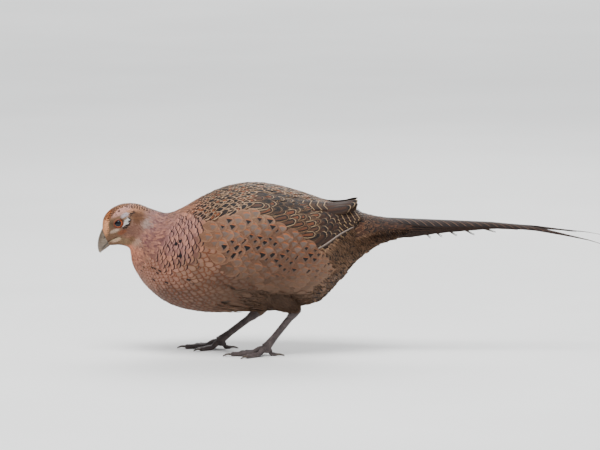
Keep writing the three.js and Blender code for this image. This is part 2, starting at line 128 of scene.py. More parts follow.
def spline(points, t):
    """A smooth line through points, read at t counted in points."""
    padded = np.vstack([2 * points[0] - points[1], points, 2 * points[-1] - points[-2]])
    t = np.clip(np.asarray(t, float), 0, len(points) - 1)
    i = np.minimum(t.astype(int), len(points) - 2)
    f = (t - i)[..., None]
    a, b, c, d = (padded[i + k] for k in range(4))
    return 0.5 * (2 * b + (c - a) * f + (2 * a - 5 * b + 4 * c - d) * f**2 + (3 * b - a - 3 * c + d) * f**3)


def round_end(t):
    """How wide a round end is, 0 at its pole where t is 0, and 1 from t = 1 on."""
    return np.sqrt(1 - (1 - np.minimum(1, t)) ** 2)


def unit(v):
    return v / np.maximum(np.linalg.norm(v, axis=-1, keepdims=True), 1e-9)


class Loft:
    """A surface through tilted sections. Angle is 0 on the upper outline, 90 at the left and 180 below."""

    def __init__(self, sections):
        self.sections = sections
        self.last = len(sections) - 1

    def skin(self, station, angle):
        s = spline(self.sections, station)
        a = np.radians(angle)
        upper, lower = s[..., 0:2], s[..., 2:4]
        middle, half = (upper + lower) / 2, (upper - lower) / 2
        side = middle + half * (np.cos(a) - s[..., 5] * np.sin(a) ** 2)[..., None]
        return np.stack([side[..., 0], s[..., 4] * np.sin(a), side[..., 1]], -1)

    def ways(self, station, angle):
        """Change of place per station and per degree."""
        along = (self.skin(station + 0.02, angle) - self.skin(station - 0.02, angle)) / 0.04
        around = self.skin(station, angle + 0.5) - self.skin(station, angle - 0.5)
        return along, around

    def point(self, station, angle, lift):
        along, around = self.ways(station, angle)
        return self.skin(station, angle) + unit(np.cross(around, along)) * np.asarray(lift)[..., None]

    def walk(self, station, angle, ahead, across, turn):
        """The station and angle ahead and across, in mm, of a place, turned up by a number of degrees."""
        along, around = self.ways(station, angle)
        t1 = unit(along)
        t2 = unit(np.cross(np.cross(around, along), t1))
        phi = np.radians(turn) * np.sin(np.radians(angle))
        x = ahead * np.cos(phi) - across * np.sin(phi)
        y = ahead * np.sin(phi) + across * np.cos(phi)
        swing = y / np.sum(around * t2, -1)
        step = (x - np.sum(around * t1, -1) * swing) / np.linalg.norm(along, axis=-1)
        return station + step, angle + swing


BODY = Loft(STATIONS)


# The side view: where the frame's origin shows, mm a picture element along and up, and the drop sideways
VIEW_ORIGIN = (360.7, 352.5)
VIEW_SCALE = (1.14, 1.149)
VIEW_DIP = 0.107


def picture(place):
    """Where a place shows in the side view, in picture elements, folded to the near side."""
    x, y, z = (place[..., i] for i in range(3))
    return VIEW_ORIGIN[0] - x / VIEW_SCALE[0], VIEW_ORIGIN[1] - z / VIEW_SCALE[1] + np.abs(y) * VIEW_DIP


# Mesh helpers


def make_mesh(name, places, faces, material, uvs=None, values=None):
    """A smooth mesh object from places in millimetres, with UV maps and attributes given per vertex."""
    mesh = bpy.data.meshes.new(name)
    faces = np.asarray(faces, np.int32)
    sides = faces.shape[1]
    mesh.vertices.add(len(places))
    mesh.vertices.foreach_set("co", (np.asarray(places) * MM).astype(np.float32).ravel())
    mesh.loops.add(faces.size)
    mesh.loops.foreach_set("vertex_index", faces.ravel())
    mesh.polygons.add(len(faces))
    mesh.polygons.foreach_set("loop_start", np.arange(0, faces.size, sides, dtype=np.int32))
    for uv_name, uv in (uvs or {}).items():
        layer = mesh.uv_layers.new(name=uv_name)
        layer.data.foreach_set("uv", uv[faces.ravel()].astype(np.float32).ravel())
    for key, value in (values or {}).items():
        colour = value.ndim == 2
        data = mesh.attributes.new(key, "FLOAT_COLOR" if colour else "FLOAT", "POINT").data
        if colour:
            value = np.hstack([value, np.ones((len(value), 1))])
        data.foreach_set("color" if colour else "value", value.astype(np.float32).ravel())
    mesh.update(calc_edges=True)
    mesh.polygons.foreach_set("use_smooth", np.ones(len(faces), bool))
    mesh.materials.append(material)
    piece = bpy.data.objects.new(name, mesh)
    bpy.context.scene.collection.objects.link(piece)
    return piece


def grid_faces(rows, columns, wrap=False):
    """Quads of a grid of (rows + 1) by (columns + 1) vertices, or by columns where it wraps round."""
    width = columns if wrap else columns + 1
    r, c = np.meshgrid(np.arange(rows), np.arange(columns), indexing="ij")
    a = r * width + c
    b = r * width + (c + 1) % width
    return np.stack([a, a + width, b + width, b], -1).reshape(-1, 4)


def tube(point, rows, columns):
    """Places and faces of a closed round form. point takes t, 0 to 1, and the angle; its ends draw in."""
    t, angle = lattice(rows, columns - 1, 0, 360 - 360 / columns)
    return point(t, angle).reshape(-1, 3), grid_faces(rows, columns, wrap=True)[:, ::-1]


def sheet(point, rows, columns):
    """Places and faces of a thin closed sheet. point takes s, 0 to 1, a, -1 to 1, and the side, 1 or -1."""
    s, a = lattice(rows, columns, -1, 1)
    places = np.concatenate([point(s, a, side).reshape(-1, 3) for side in (1, -1)])
    count = (rows + 1) * (columns + 1)
    top = grid_faces(rows, columns)
    at = np.arange(count).reshape(rows + 1, columns + 1)
    border = np.concatenate([at[0, :-1], at[:-1, -1], at[-1, :0:-1], at[:0:-1, 0]])
    following = np.roll(border, -1)
    wall = np.stack([border, following, following + count, border + count], -1)
    uv = np.stack([(a + 1) / 2, s], -1).reshape(-1, 2)
    return places, np.concatenate([top, top[:, ::-1] + count, wall]), np.concatenate([uv, uv])


# Colours are given as a screen shows them, each part from 0 to 255


def rgb(colour):
    """A screen colour as the linear colour that shading works in."""
    v = np.array(colour, float) / 255
    return np.where(v <= 0.04045, v / 12.92, ((v + 0.055) / 1.055) ** 2.4)


# The coat's colours as the side view shows them: middle, radii, turn in degrees, colour and strength.
# Later ones lie over earlier ones. A part over 255 makes up for the shade between the feathers.
MARKS = [
    ("neck", (160, 236), (34, 26), 0, (188, 142, 131), 1.0),
    ("front of the neck", (135, 258), (10, 22), -14, (276, 198, 164), 0.95),
    ("breast", (160, 276), (34, 30), 40, (196, 146, 124), 0.9),
    # The lower breast, lower flank and belly are darker brown: partly the underside's own colour, partly
    # painted shade under the body.
    ("lower breast", (184, 302), (46, 19), 12, (108, 82, 62), 0.95),
    ("front of the flank", (224, 240), (46, 40), 0, (168, 126, 100), 1.0),
    ("flank", (284, 256), (54, 44), 0, (122, 88, 68), 1.0),
    ("lower flank", (262, 286), (74, 18), 4, (102, 78, 60), 0.9),
    ("belly", (262, 303), (84, 20), 0, (114, 90, 72), 0.95),
    ("thigh", (262, 318), (60, 10), 0, (150, 118, 92), 0.6),
    ("rear flank", (318, 282), (24, 22), -30, (136, 110, 91), 0.9),
    ("vent", (348, 256), (26, 34), -40, (170, 138, 112), 0.95),
    ("back", (262, 196), (100, 28), 0, (180, 146, 116), 0.95),
    ("tail root", (404, 226), (44, 20), 0, (62, 46, 42), 1.0),
    ("shoulder", (184, 230), (18, 30), 20, (204, 158, 146), 0.9),
    ("front of the back", (192, 206), (16, 10), -26, (220, 160, 128), 0.9),
    ("crown", (128, 206), (28, 9), 0, (228, 172, 136), 1.0),
    ("nape", (158, 214), (14, 8), 20, (192, 150, 142), 0.9),
    ("forehead", (105, 217), (5, 16), 26, (262, 172, 112), 1.0),
    ("brow", (122, 211), (13, 3.6), -30, (250, 200, 184), 0.9),
    ("face front", (105.5, 227), (4.2, 11), 4, (288, 224, 174), 0.95),
    ("cheek", (134, 230), (13, 8), 0, (165, 125, 108), 1.0),
    ("lores", (111.6, 224), (2.6, 5), 14, (146, 124, 100), 0.85),
    ("below the eye", (115.6, 230.6), (6.5, 2), -24, (240, 214, 192), 0.9),
    ("cheek stripe", (122.6, 232.2), (5.4, 2.4), -24, (176, 112, 80), 0.85),
    ("chin", (126, 241.4), (10, 3.6), 10, (180, 152, 118), 0.85),
    ("malar stripe", (116.6, 240), (6, 2.0), -20, (262, 226, 194), 0.9),
    ("chin shade", (133, 239.2), (4, 3), 10, (146, 118, 84), 0.7),
    ("throat", (138, 244), (6, 6), 24, (206, 180, 160), 0.7),
    ("ear coverts", (138.6, 217.2), (7.6, 8), 30, (136, 96, 66), 0.95),
    ("behind the ear", (148.5, 224.6), (7.5, 6), -30, (198, 184, 174), 0.6),
    ("pale patch above", (125.2, 215.2), (4.8, 2.3), -26, (226, 216, 222), 0.95),
    ("white patch", (126.6, 222.4), (2.6, 6.8), 38, (252, 248, 246), 1.0),
]
# Thin lines of colour: their points, half width, colour and strength
LINES = [
    ("dark line behind the eye", [(134.4, 212), (131.2, 214.6), (129.9, 217.2), (131, 220.5),
                                  (129.8, 223.8), (127, 227), (124, 228.8)], 0.95, (46, 32, 28), 0.95),
    ("mouth line", [(106.5, 242), (111.5, 240.2), (117.5, 236.8)], 0.6, (84, 64, 46), 0.8),
]
COAT_BASE = (168, 134, 108)
SOFT_MARK = 4  # marks with larger radii than this have a soft and uneven edge
COAT_GAMMA = 1.25
COAT_GAIN = 0.66


def coat_colour(place):
    """The coat's own colour at places on the body."""
    px, py = picture(place)
    colour = np.broadcast_to(rgb(COAT_BASE), place.shape)
    for _, (cx, cy), (rx, ry), turn, paint, strength in MARKS:
        c, s = math.cos(math.radians(turn)), math.sin(math.radians(turn))
        u = ((px - cx) * c + (py - cy) * s) / rx
        v = ((py - cy) * c - (px - cx) * s) / ry
        reach = np.hypot(u, v)
        if min(rx, ry) > SOFT_MARK:
            amount = strength * fade(reach + RNG.normal(0, 0.09, reach.shape), 0.4, 1.25)
        else:
            amount = strength * fade(reach, 0.62, 1.14)
        colour = mix(colour, rgb(paint), amount[..., None])
    for _, points, half, paint, strength in LINES:
        amount = strength * fade(line_distance(px, py, points), half * 0.5, half * 1.3)
        colour = mix(colour, rgb(paint), amount[..., None])
    return colour


def line_distance(px, py, points):
    """How far picture places lie from a line through points."""
    best = np.full(px.shape, 1e9)
    for (x1, y1), (x2, y2) in zip(points, points[1:]):
        length = (x2 - x1) ** 2 + (y2 - y1) ** 2
        t = np.clip(((px - x1) * (x2 - x1) + (py - y1) * (y2 - y1)) / length, 0, 1)
        best = np.minimum(best, np.hypot(px - x1 - t * (x2 - x1), py - y1 - t * (y2 - y1)))
    return best


# Materials


class Value:
    """A number inside a material, with plain arithmetic."""

    def __init__(self, paint, socket):
        self.paint, self.socket = paint, socket

    def __add__(self, other):
        return self.paint.math("ADD", self, other)

    def __sub__(self, other):
        return self.paint.math("SUBTRACT", self, other)

    def __rsub__(self, other):
        return self.paint.math("SUBTRACT", other, self)

    def __mul__(self, other):
        return self.paint.math("MULTIPLY", self, other)

    def __abs__(self):
        return self.paint.math("ABSOLUTE", self)

    __radd__ = __add__
    __rmul__ = __mul__


class Paint:
    """Builds one material's nodes. The ground is the colour laid so far."""

    def __init__(self, name, roughness=0.6, **sockets):
        self.material = bpy.data.materials.new(name)
        self.material.use_nodes = True
        self.tree = self.material.node_tree
        self.shader = self.tree.nodes["Principled BSDF"]
        self.shader.inputs["Roughness"].default_value = roughness
        for key, value in sockets.items():
            self.shader.inputs[key.replace("_", " ")].default_value = value

    def node(self, kind, inputs=None, out=0, **settings):
        made = self.tree.nodes.new(kind)
        for key, value in settings.items():
            setattr(made, key, value)
        for key, value in (inputs or {}).items():
            self.put(made.inputs[key], value)
        return Value(self, made.outputs[out])

    def put(self, socket, value):
        if isinstance(value, Value):
            self.tree.links.new(value.socket, socket)
        elif socket.type == "RGBA":
            socket.default_value = (*rgb(value), 1)
        else:
            socket.default_value = value

    def math(self, operation, a, b=0.0, c=0.0):
        return self.node("ShaderNodeMath", {0: a, 1: b, 2: c}, operation=operation)

    def step(self, value, low, high):
        """0 below low, 1 above high, and smooth between."""
        return self.node("ShaderNodeMapRange", {0: value, 1: low, 2: high}, interpolation_type="SMOOTHSTEP")

    def until(self, value, low, high):
        """1 below low, 0 above high, and smooth between."""
        return 1 - self.step(value, low, high)

    def band(self, value, low, high, soft):
        """1 between low and high, 0 outside."""
        return self.step(value, low - soft, low) * self.until(value, high, high + soft)

    def spot(self, width, edge, front, end, soft):
        """1 within a width either side of the quill, between two distances from the tip."""
        return self.band(self.x, 0.0, width, edge) * self.band(self.y, front, end, soft)

    def mix(self, amount, a, b, blend="MIX"):
        inputs = {0: amount, 6: a, 7: b}
        return self.node("ShaderNodeMix", inputs, out=2, data_type="RGBA", blend_type=blend)

    def over(self, amount, colour):
        """Lays a colour over the ground, as strong as the amount."""
        self.ground = self.mix(amount, self.ground, colour)

    def wavy(self, dark, scale=1.1):
        """Fine wavy lines over the ground."""
        waves = self.noise(scale, 3.0, self.flat, 1.6)
        self.over(self.band(waves, 0.44, 0.52, 0.03) * 0.7, dark)

    def value(self, name, colour=False):
        return self.node("ShaderNodeAttribute", out=0 if colour else 2, attribute_name=name)

    def place(self):
        return self.node("ShaderNodeTexCoord", out=3)

    def noise(self, scale, detail=2.0, vector=None, distortion=0.0):
        inputs = {"Vector": vector or self.place(), "Scale": scale, "Detail": detail}
        return self.node("ShaderNodeTexNoise", {**inputs, "Distortion": distortion})

    def colour(self, value):
        self.put(self.shader.inputs["Base Color"], value)

    def deepened(self, colour, shade):
        """A coat colour made deeper and fuller, as light sinks in between feathers."""
        deep = self.node("ShaderNodeGamma", {"Color": colour, "Gamma": COAT_GAMMA})
        grey = self.node("ShaderNodeCombineXYZ", {0: shade, 1: shade, 2: shade})
        return self.mix(1.0, deep, grey, "MULTIPLY")

    def bump(self, height, distance, strength=1.0):
        normal = self.node("ShaderNodeBump", {"Height": height, "Distance": distance, "Strength": strength})
        self.put(self.shader.inputs["Normal"], normal)


def feather_paint(name, pattern, half, wobble=0.35, speckle=0.22, vary=0.22, roughness=0.62, sharp=True):
    """
    A feather's colours. Each feather has its own map in millimetres: up runs across it towards the back, x
    is its size either way, y runs back from the tip and edge runs in from the outline. The pattern lays its
    colours over the feather's tint. Tone and chance are random numbers that each feather keeps.
    """
    p = Paint(name, roughness, Specular_IOR_Level=0.25)
    p.flat = p.node("ShaderNodeUVMap", uv_map="Feather")
    split = p.tree.nodes.new("ShaderNodeSeparateXYZ")
    p.put(split.inputs[0], p.flat)
    p.up, back = Value(p, split.outputs[0]), Value(p, split.outputs[1])
    p.ground = p.tint = p.value("tint", colour=True)
    p.tone, p.chance, p.marked, p.crisp = (p.value(key) for key in ("tone", "chance", "marked", "crisp"))
    rough_edge = (p.noise(2.2 / wobble, 3.0, p.flat) - 0.5) * 2.0 * wobble
    p.x = abs(p.up)
    p.y = back + rough_edge
    p.edge = p.math("SMOOTH_MIN", p.y * 0.85, half - p.x + rough_edge, 0.8)
    pattern(p)
    long_grain = p.node("ShaderNodeMapping", {"Vector": p.flat, "Scale": (2.6, 0.22, 1.0)})
    grain = p.noise(1.0, 4.0, long_grain)
    shade = (grain - 0.5) * (2.0 * speckle) + p.tone * vary + (1 - vary / 2)
    p.colour(p.deepened(p.ground, shade * COAT_GAIN))
    barbs = p.math("SINE", (p.x * 0.8 + back) * 9.0)
    quill = p.until(p.x, 0.0, 0.5)
    p.bump(barbs * 0.2 + quill * (1.2 if sharp else 0.2) + grain * 0.8, 0.00012, 0.55)
    return p.material


DARK = (58, 44, 38)
DARK_BROWN = (88, 68, 54)
CREAM = (240, 218, 186)
CHESTNUT = (142, 92, 62)


def plain_pattern(p):
    p.over(p.step(p.y, 0.0, 2.5) * 0.25, DARK_BROWN)


def crown_pattern(p):
    """A dark crescent behind the tip."""
    crescent = p.band(p.edge, 0.75, 2.0, 0.3) * p.step(p.marked + p.tone * 0.5, 0.2, 0.6)
    p.over(crescent, (62, 42, 34))


def neck_pattern(p):
    p.over(p.step(p.chance, 0.2, 1.0) * 0.65, (116, 80, 86))
    p.over(p.step(p.tone, 0.5, 1.0) * 0.4, (224, 164, 130))
    p.over(p.until(p.edge, 0.25, 0.6) * p.marked * 0.85, (70, 50, 50))


def shoulder_pattern(p):
    """Rows of pinkish waves, each edged with a dark purple line."""
    p.over(p.step(p.y, 1.6, 3.6) * 0.55, (132, 92, 92))
    p.over(p.step(p.tone, 0.4, 1.0) * 0.3, (226, 164, 130))
    line = p.until(p.y + p.noise(0.5, 2.0, p.flat) * 1.2, 1.3, 2.2)
    p.over(line * (p.marked * 0.9 + 0.1), (50, 32, 40))
    blot = p.band(p.up, -1.6, 1.2, 0.5) * p.band(p.y, 0.5, 3.2, 0.4) * p.step(p.chance, 0.93, 0.94)
    p.over(blot, (40, 28, 32))


def breast_pattern(p):
    """Scales with a pinkish middle and a rufous rim, and a black wedge on a few."""
    p.over(p.step(p.edge, 1.2, 2.8) * p.crisp * 0.3, (184, 150, 140))
    rim = p.mix(p.tone, (150, 88, 56), (92, 56, 42))
    p.over(p.until(p.edge, 0.3, 1.8) * (p.crisp * 0.5 + 0.3), rim)
    wedge = p.band(p.up, -1.2, 0.8, 0.4) * p.band(p.y, 0.6, 4.4, 0.5) * p.step(p.chance, 0.9, 0.91)
    p.over(wedge * p.step(p.marked, 0.05, 0.3), DARK)


def mantle_pattern(p):
    """A black heart in a cream rim, with a chestnut spot in it on some."""
    core = p.mix(p.step(p.chance, 0.45, 0.8), (44, 32, 30), (74, 46, 32))
    p.over(0.15, CREAM)
    p.over(p.step(p.edge, 1.15, 1.6), core)
    inner = p.spot(0.8, 0.4, 3.6, 6.0, 0.8) * p.step(p.chance, 0.6, 0.7)
    p.over(inner * 0.6, (196, 124, 78))
    p.over(p.until(p.y, 0.0, 0.4) * 0.7, (96, 70, 54))
    p.over((1 - p.marked) * 0.55, p.tint)


def scapular_pattern(p):
    """Feathers with a pale ring round a chestnut heart, among quieter ones with a dark spot."""
    p.ground = p.mix(p.step(p.edge, 0.3, 0.9), (142, 118, 94), (110, 86, 66))
    p.wavy((56, 42, 34))
    p.over(p.step(p.edge, 2.2, 2.5), p.mix(p.step(p.tone, 0.3, 0.8), (204, 176, 142), (150, 116, 84)))
    p.over(p.step(p.edge, 2.9, 3.3), (40, 30, 27))
    p.over(p.step(p.edge, 4.4, 5.2), p.mix(p.step(p.chance, 0.3, 0.8), DARK_BROWN, CHESTNUT))
    ringed = p.ground
    p.ground = p.mix(p.step(p.edge, 0.4, 1.0), (160, 134, 106), (98, 76, 58))
    p.wavy((50, 38, 32))
    p.over(p.band(p.edge, 2.2, 5.2, 0.5) * p.band(p.x, 0.0, 2.4, 0.6), (42, 32, 28))
    p.over(p.step(p.chance, 0.42, 0.46), ringed)


def covert_pattern(p):
    """Dark brown with wavy lines, a black end and a pale line across the tip."""
    p.ground = p.mix(p.step(p.edge, 3.5, 6.0), (66, 48, 38), (100, 68, 48))
    p.wavy(DARK, 0.8)
    p.over(p.until(p.y, 3.0, 4.4), (40, 30, 27))
    p.over(p.step(p.x, 3.6, 5.2) * 0.6, DARK_BROWN)
    pale = p.mix(p.step(p.chance, 0.1, 0.6), (140, 110, 82), (204, 178, 146))
    p.over(p.until(p.y + p.noise(0.8, 2.0, p.flat) * 0.8, 1.1, 1.6), pale)
    p.over(p.until(p.edge, 0.2, 0.5) * 0.5, (112, 88, 68))


def flank_pattern(p):
    """A soft buff scale, with a grey or black wedge that hangs point down under a rufous line."""
    p.over(0.12, (232, 190, 156))
    p.over(p.step(p.edge, 0.6, 2.8) * 0.45, (118, 84, 62))
    # Painted shade: a dark brown line along each feather's outline, for the shadow where the scales overlap.
    p.over(p.until(p.edge, 0.0, 0.5) * 0.45, (110, 76, 56))
    p.over(p.step(p.noise(0.6, 3.0, p.flat), 0.4, 0.7) * 0.35, (110, 80, 62))
    p.over((1 - p.crisp) * 0.75, p.tint)
    size = (p.tone - 0.5) * 1.8
    off = abs(p.y - 4.4 - p.chance)
    wedge = (p.up + 2.4) * 0.72 - off + size
    below = p.until(p.up, 1.5, 2.1)
    strong = p.crisp * (p.marked * 0.5 + 0.5)
    grey = p.mix(p.step(p.chance, 0.2, 0.9), (136, 122, 114), (128, 108, 98))
    p.over(p.step(wedge, -2.6, -0.4) * below * strong * 0.8, grey)
    orange = p.band(p.up + off * off * 0.09, 1.9, 2.7, 0.6) * p.until(off - size, 2.6, 4.2)
    p.over(orange * strong * 0.7, (196, 122, 76))
    black = p.step(wedge, -0.3, 0.3) * below * p.step(p.chance + p.marked * 0.22, 0.68, 0.72)
    p.over(black * p.step(strong, 0.25, 0.6), (32, 24, 22))


def vent_pattern(p):
    p.over(p.step(p.edge, 0.3, 1.3) * 0.4, DARK_BROWN)
    p.over(p.until(p.edge, 0.15, 0.6) * 0.6, (206, 168, 132))
    blotch = p.spot(1.6, 0.5, 1.4, 6.4, 0.9) * p.step(p.chance, 0.35, 0.5)
    p.over(blotch * 0.95, DARK)


def rump_pattern(p):
    p.over(0.3, (160, 118, 86))
    p.over(p.step(p.edge, 0.7, 1.3), p.mix(p.step(p.chance, 0.4, 0.8), DARK, (98, 66, 48)))
    inner = p.spot(0.8, 0.4, 3.0, 4.2, 0.6) * p.step(p.chance, 0.7, 0.8)
    p.over(inner * 0.5, (170, 120, 84))


# Coat. Each zone has its feathers in rows: how many stand round the body; a feather's usual spacing,
# length and half width in mm; the lift of its root and tip; how far its sides end short of its tip, and how
# square the tip is; its raggedness; and its colours. The last column holds what isn't usual: the way it
# points, in degrees above level, where not along the body; the rows and columns of its mesh; the distance
# between rows against that within a row; and how much the lift of the tips varies.
ZONE_COLUMNS = ("round", "spacing", "length", "half", "lift", "pull", "square", "rag", "pattern")
ZONE_USUAL = dict(points=None, grid=(6, 6), apart=0.8, loose=0.12)
ZONE_TABLE = {
    "face": (92, 1.35, 4.4, 0.85, (-0.25, 0.16), 0.5, 1.6, 0.3, plain_pattern, dict(grid=(3, 4))),
    "crown": (54, 2.3, 6.0, 1.7, (-0.3, 0.2), 0.35, 2.0, 0.1, crown_pattern, dict(grid=(4, 4))),
    "neck": (84, 2.2, 7.6, 1.6, (-0.45, 0.25), 0.45, 1.8, 0.25, neck_pattern, dict(grid=(5, 4))),
    "shoulder": (50, 5.2, 12, 3.8, (-0.5, 0.45), 0.15, 1.7, 0.04, shoulder_pattern, dict(apart=0.6)),
    "breast": (62, 5.3, 12, 3.6, (-0.6, 0.5), 0.26, 2.0, 0.06, breast_pattern, dict(apart=0.66)),
    "mantle": (58, 5.6, 14, 3.5, (-0.7, 0.5), 0.42, 1.4, 0.03, mantle_pattern, dict(points=28, apart=0.66)),
    "scapular": (44, 8.6, 25, 6.4, (-0.9, 0.6), 0.36, 2.0, 0.05, scapular_pattern,
                 dict(points=12, grid=(8, 8))),
    "covert": (40, 9.4, 28, 6.8, (-0.9, 0.7), 0.2, 3.4, 0.05, covert_pattern, dict(points=33, grid=(8, 8))),
    "flank": (40, 9.3, 17, 6.0, (-0.6, 1.0), 0.22, 2.2, 0.05, flank_pattern,
              dict(points=-6, grid=(8, 8), apart=0.58)),
    "belly": (80, 5.0, 19, 3.4, (-0.6, 0.6), 0.6, 1.2, 0.55, plain_pattern, dict(grid=(6, 8), loose=0.3)),
    "vent": (64, 4.8, 17, 3.0, (-0.7, 1.5), 0.8, 1.0, 0.35, vent_pattern,
             dict(points=-44, grid=(6, 8), loose=0.3)),
    "rump": (38, 4.8, 16, 3.6, (-0.7, 0.5), 0.42, 1.8, 0.1, rump_pattern, {}),
}
ZONES = {name: {**ZONE_USUAL, **dict(zip(ZONE_COLUMNS, row)), **row[-1]}
         for name, row in ZONE_TABLE.items()}
ZONE_NAMES = list(ZONES)
for zone_name, zone in ZONES.items():
    fine = zone["spacing"] < 3
    zone["paint"] = feather_paint(
        f"{zone_name} feathers", zone["pattern"], zone["half"],
        wobble=0.12 if fine else 0.4 if zone["half"] < 6 else 0.6,
        vary=0.5 if zone_name == "face" else 0.3, sharp=not fine and zone_name != "belly")
SKIN = Paint("skin", 0.8)
SKIN.colour(SKIN.deepened(SKIN.value("tint", colour=True), COAT_GAIN * 0.55))
SKIN.bump(SKIN.noise(900.0, 4.0), 0.0002, 0.5)

# The folded wing and the flank in the side view. They share the wing's lower edge.
WING_EDGE = [(197, 224.4), (226, 217), (245, 212), (262, 220.7), (278, 228.8), (302, 243.4)]
WING_OUTLINE = [(172, 213), *WING_EDGE, (314, 251), (358, 224), (372, 205), (372, 140), (172, 140)]
FLANK_OUTLINE = [*WING_EDGE, (315, 251.5), (323, 258), (325, 268), (322, 280), (308, 290), (280, 292),
                 (245, 287), (222, 274), (206, 256), (198, 240)]
TAIL_SINK = 2.2  # mm that the last feathers lie under the tail's
PATCH = 0.003  # width of a feather's patch in the OFBake map
COAT_START, COAT_END = 0.12, 18.4  # stations of the first and last row of roots
MAP_STATIONS = 24  # stations that the width of the OFBake map stands for: the body takes the first ones
THIGH_STATIONS = 100  # the same for a thigh's own stations


def within(px, py, outline):
    """Which picture places lie inside an outline."""
    inside = np.zeros(px.shape, bool)
    for (x1, y1), (x2, y2) in zip(outline, outline[1:] + outline[:1]):
        crosses = (y1 > py) != (y2 > py)
        inside ^= crosses & (px < (x2 - x1) * (py - y1) / (y2 - y1 + 1e-9) + x1)
    return inside


def folded(angle):
    """The angle counted from the back down either side, 0 to 180."""
    return np.abs((angle + 180) % 360 - 180)


def zone_of(station, angle, place):
    """The number of the coat zone at each place."""
    px, py = picture(place)
    px, py = px + RNG.normal(0, 0.8, px.shape), py + RNG.normal(0, 0.8, py.shape)
    fold = folded(angle)
    wing = within(px, py, WING_OUTLINE)
    crown = (station > 0.3) & (station < 5.2) & (py < 208 + (px - 127) * 0.1 + smooth(px, 122, 104) * 16)
    scatter = RNG.normal(0, 5, px.shape)
    loose = scatter * 0.8 * smooth(py - (px - 200) * 0.3, 228, 250)
    front = station < 8.8 + scatter * 0.02
    tests = [
        (crown & (fold < 70), "crown"),
        (station < 5.0, "face"),
        (station < 6.6, "neck"),
        (station > 14.7, "rump"),
        (wing & ((station < 10.0) | (fold < 24)), "mantle"),
        (wing & (station < 12.4), "scapular"),
        (wing, "covert"),
        (within(px + loose, py + loose * 0.5, FLANK_OUTLINE), "flank"),
        ((px > 306) & (station > 11.5), "vent"),
        ((px > 228 + scatter * 2) & (py > 288 + scatter), "belly"),
        (front & (fold < 114 + scatter * 0.5) & (py < 264 + scatter * 0.5), "shoulder"),
    ]
    zone = np.full(station.shape, ZONE_NAMES.index("breast"))
    for test, name in reversed(tests):
        zone[test] = ZONE_NAMES.index(name)
    zone[(station > 14.7) & (fold > 88)] = ZONE_NAMES.index("vent")
    return zone


def marked(station, angle, place):
    """How strongly a feather carries its zone's dark marks."""
    px, py = picture(place)
    fold = folded(angle)
    shoulder = smooth(station, 6.0, 6.8) * fade(station, 8.2, 9.6) * fade(fold, 120, 160)
    nape = smooth(station, 3.8, 4.8) * fade(fold, 15, 55)
    mantle = smooth(station, 6.7, 7.9)
    flank = fade(py, 232, 288)
    back = within(px, py, WING_OUTLINE)
    side = within(px, py, FLANK_OUTLINE)
    crown = 1.0 * (station < 4.9)
    return np.where(back, mantle, np.where(side, flank, np.maximum(np.maximum(shoulder, nape), crown)))


def crisp(place):
    """How clear the pattern is: it fades out towards the belly."""
    px, py = picture(place)
    return 1 - 0.9 * smooth(py, 262, 300) * smooth(px, 185, 235)


def wing_rise(station, angle):
    """How far the folded wing stands out from the body."""
    fold = folded(angle)
    along = smooth(station, 8.0, 9.8) * fade(station, 13.2, 15.4)
    around = smooth(fold, 22, 48) * fade(fold, 84, 112)
    return 4.4 * along * around


def flank_rise(place):
    """How far the flank's feathers stand out over the wing's lower edge."""
    px, py = picture(place)
    return 1.2 * fade(py, 240, 284) * smooth(px, 190, 212) * fade(px, 312, 328)


def coat_depth(station):
    """How far the skin lies under the coat."""
    return 0.45 + 0.95 * smooth(station, 3.5, 9)


def surface(station, angle, lift):
    """A place on the coat, with the wing's rise under it."""
    return BODY.point(station, angle, lift + wing_rise(station, angle))


def in_eye(place):
    """Places within the lids."""
    x, z = place[..., 0] - EYE[0], place[..., 2] - EYE[2]
    along, up = x * 0.82 - z * 0.57, z * 0.82 + x * 0.57
    return np.hypot(along / 6.9, up / 5.4) < 1


def rows_of(loft, count, apart, first, last, jitter=0.07):
    """Roots in staggered rows, count of them round the loft, with how far apart they stand."""
    station, angle, gap = [], [], []
    at, row = first, 0
    while at < last:
        turn = (np.arange(count) + 0.5 * (row % 2) + RNG.normal(0, jitter, count)) * 360 / count
        here = at + 0 * turn
        along, around = loft.ways(here, turn)
        across = np.linalg.norm(around, axis=1).mean() * 360 / count
        pace = apart * across / np.linalg.norm(along, axis=1).mean()
        cell = np.linalg.norm(np.cross(along, around), axis=1) * pace * 360 / count / apart
        station.append(here + RNG.normal(0, jitter, count) * pace)
        angle.append(turn)
        gap.append(np.sqrt(cell))
        at, row = at + pace, row + 1
    return np.concatenate(station), np.concatenate(angle), np.concatenate(gap)


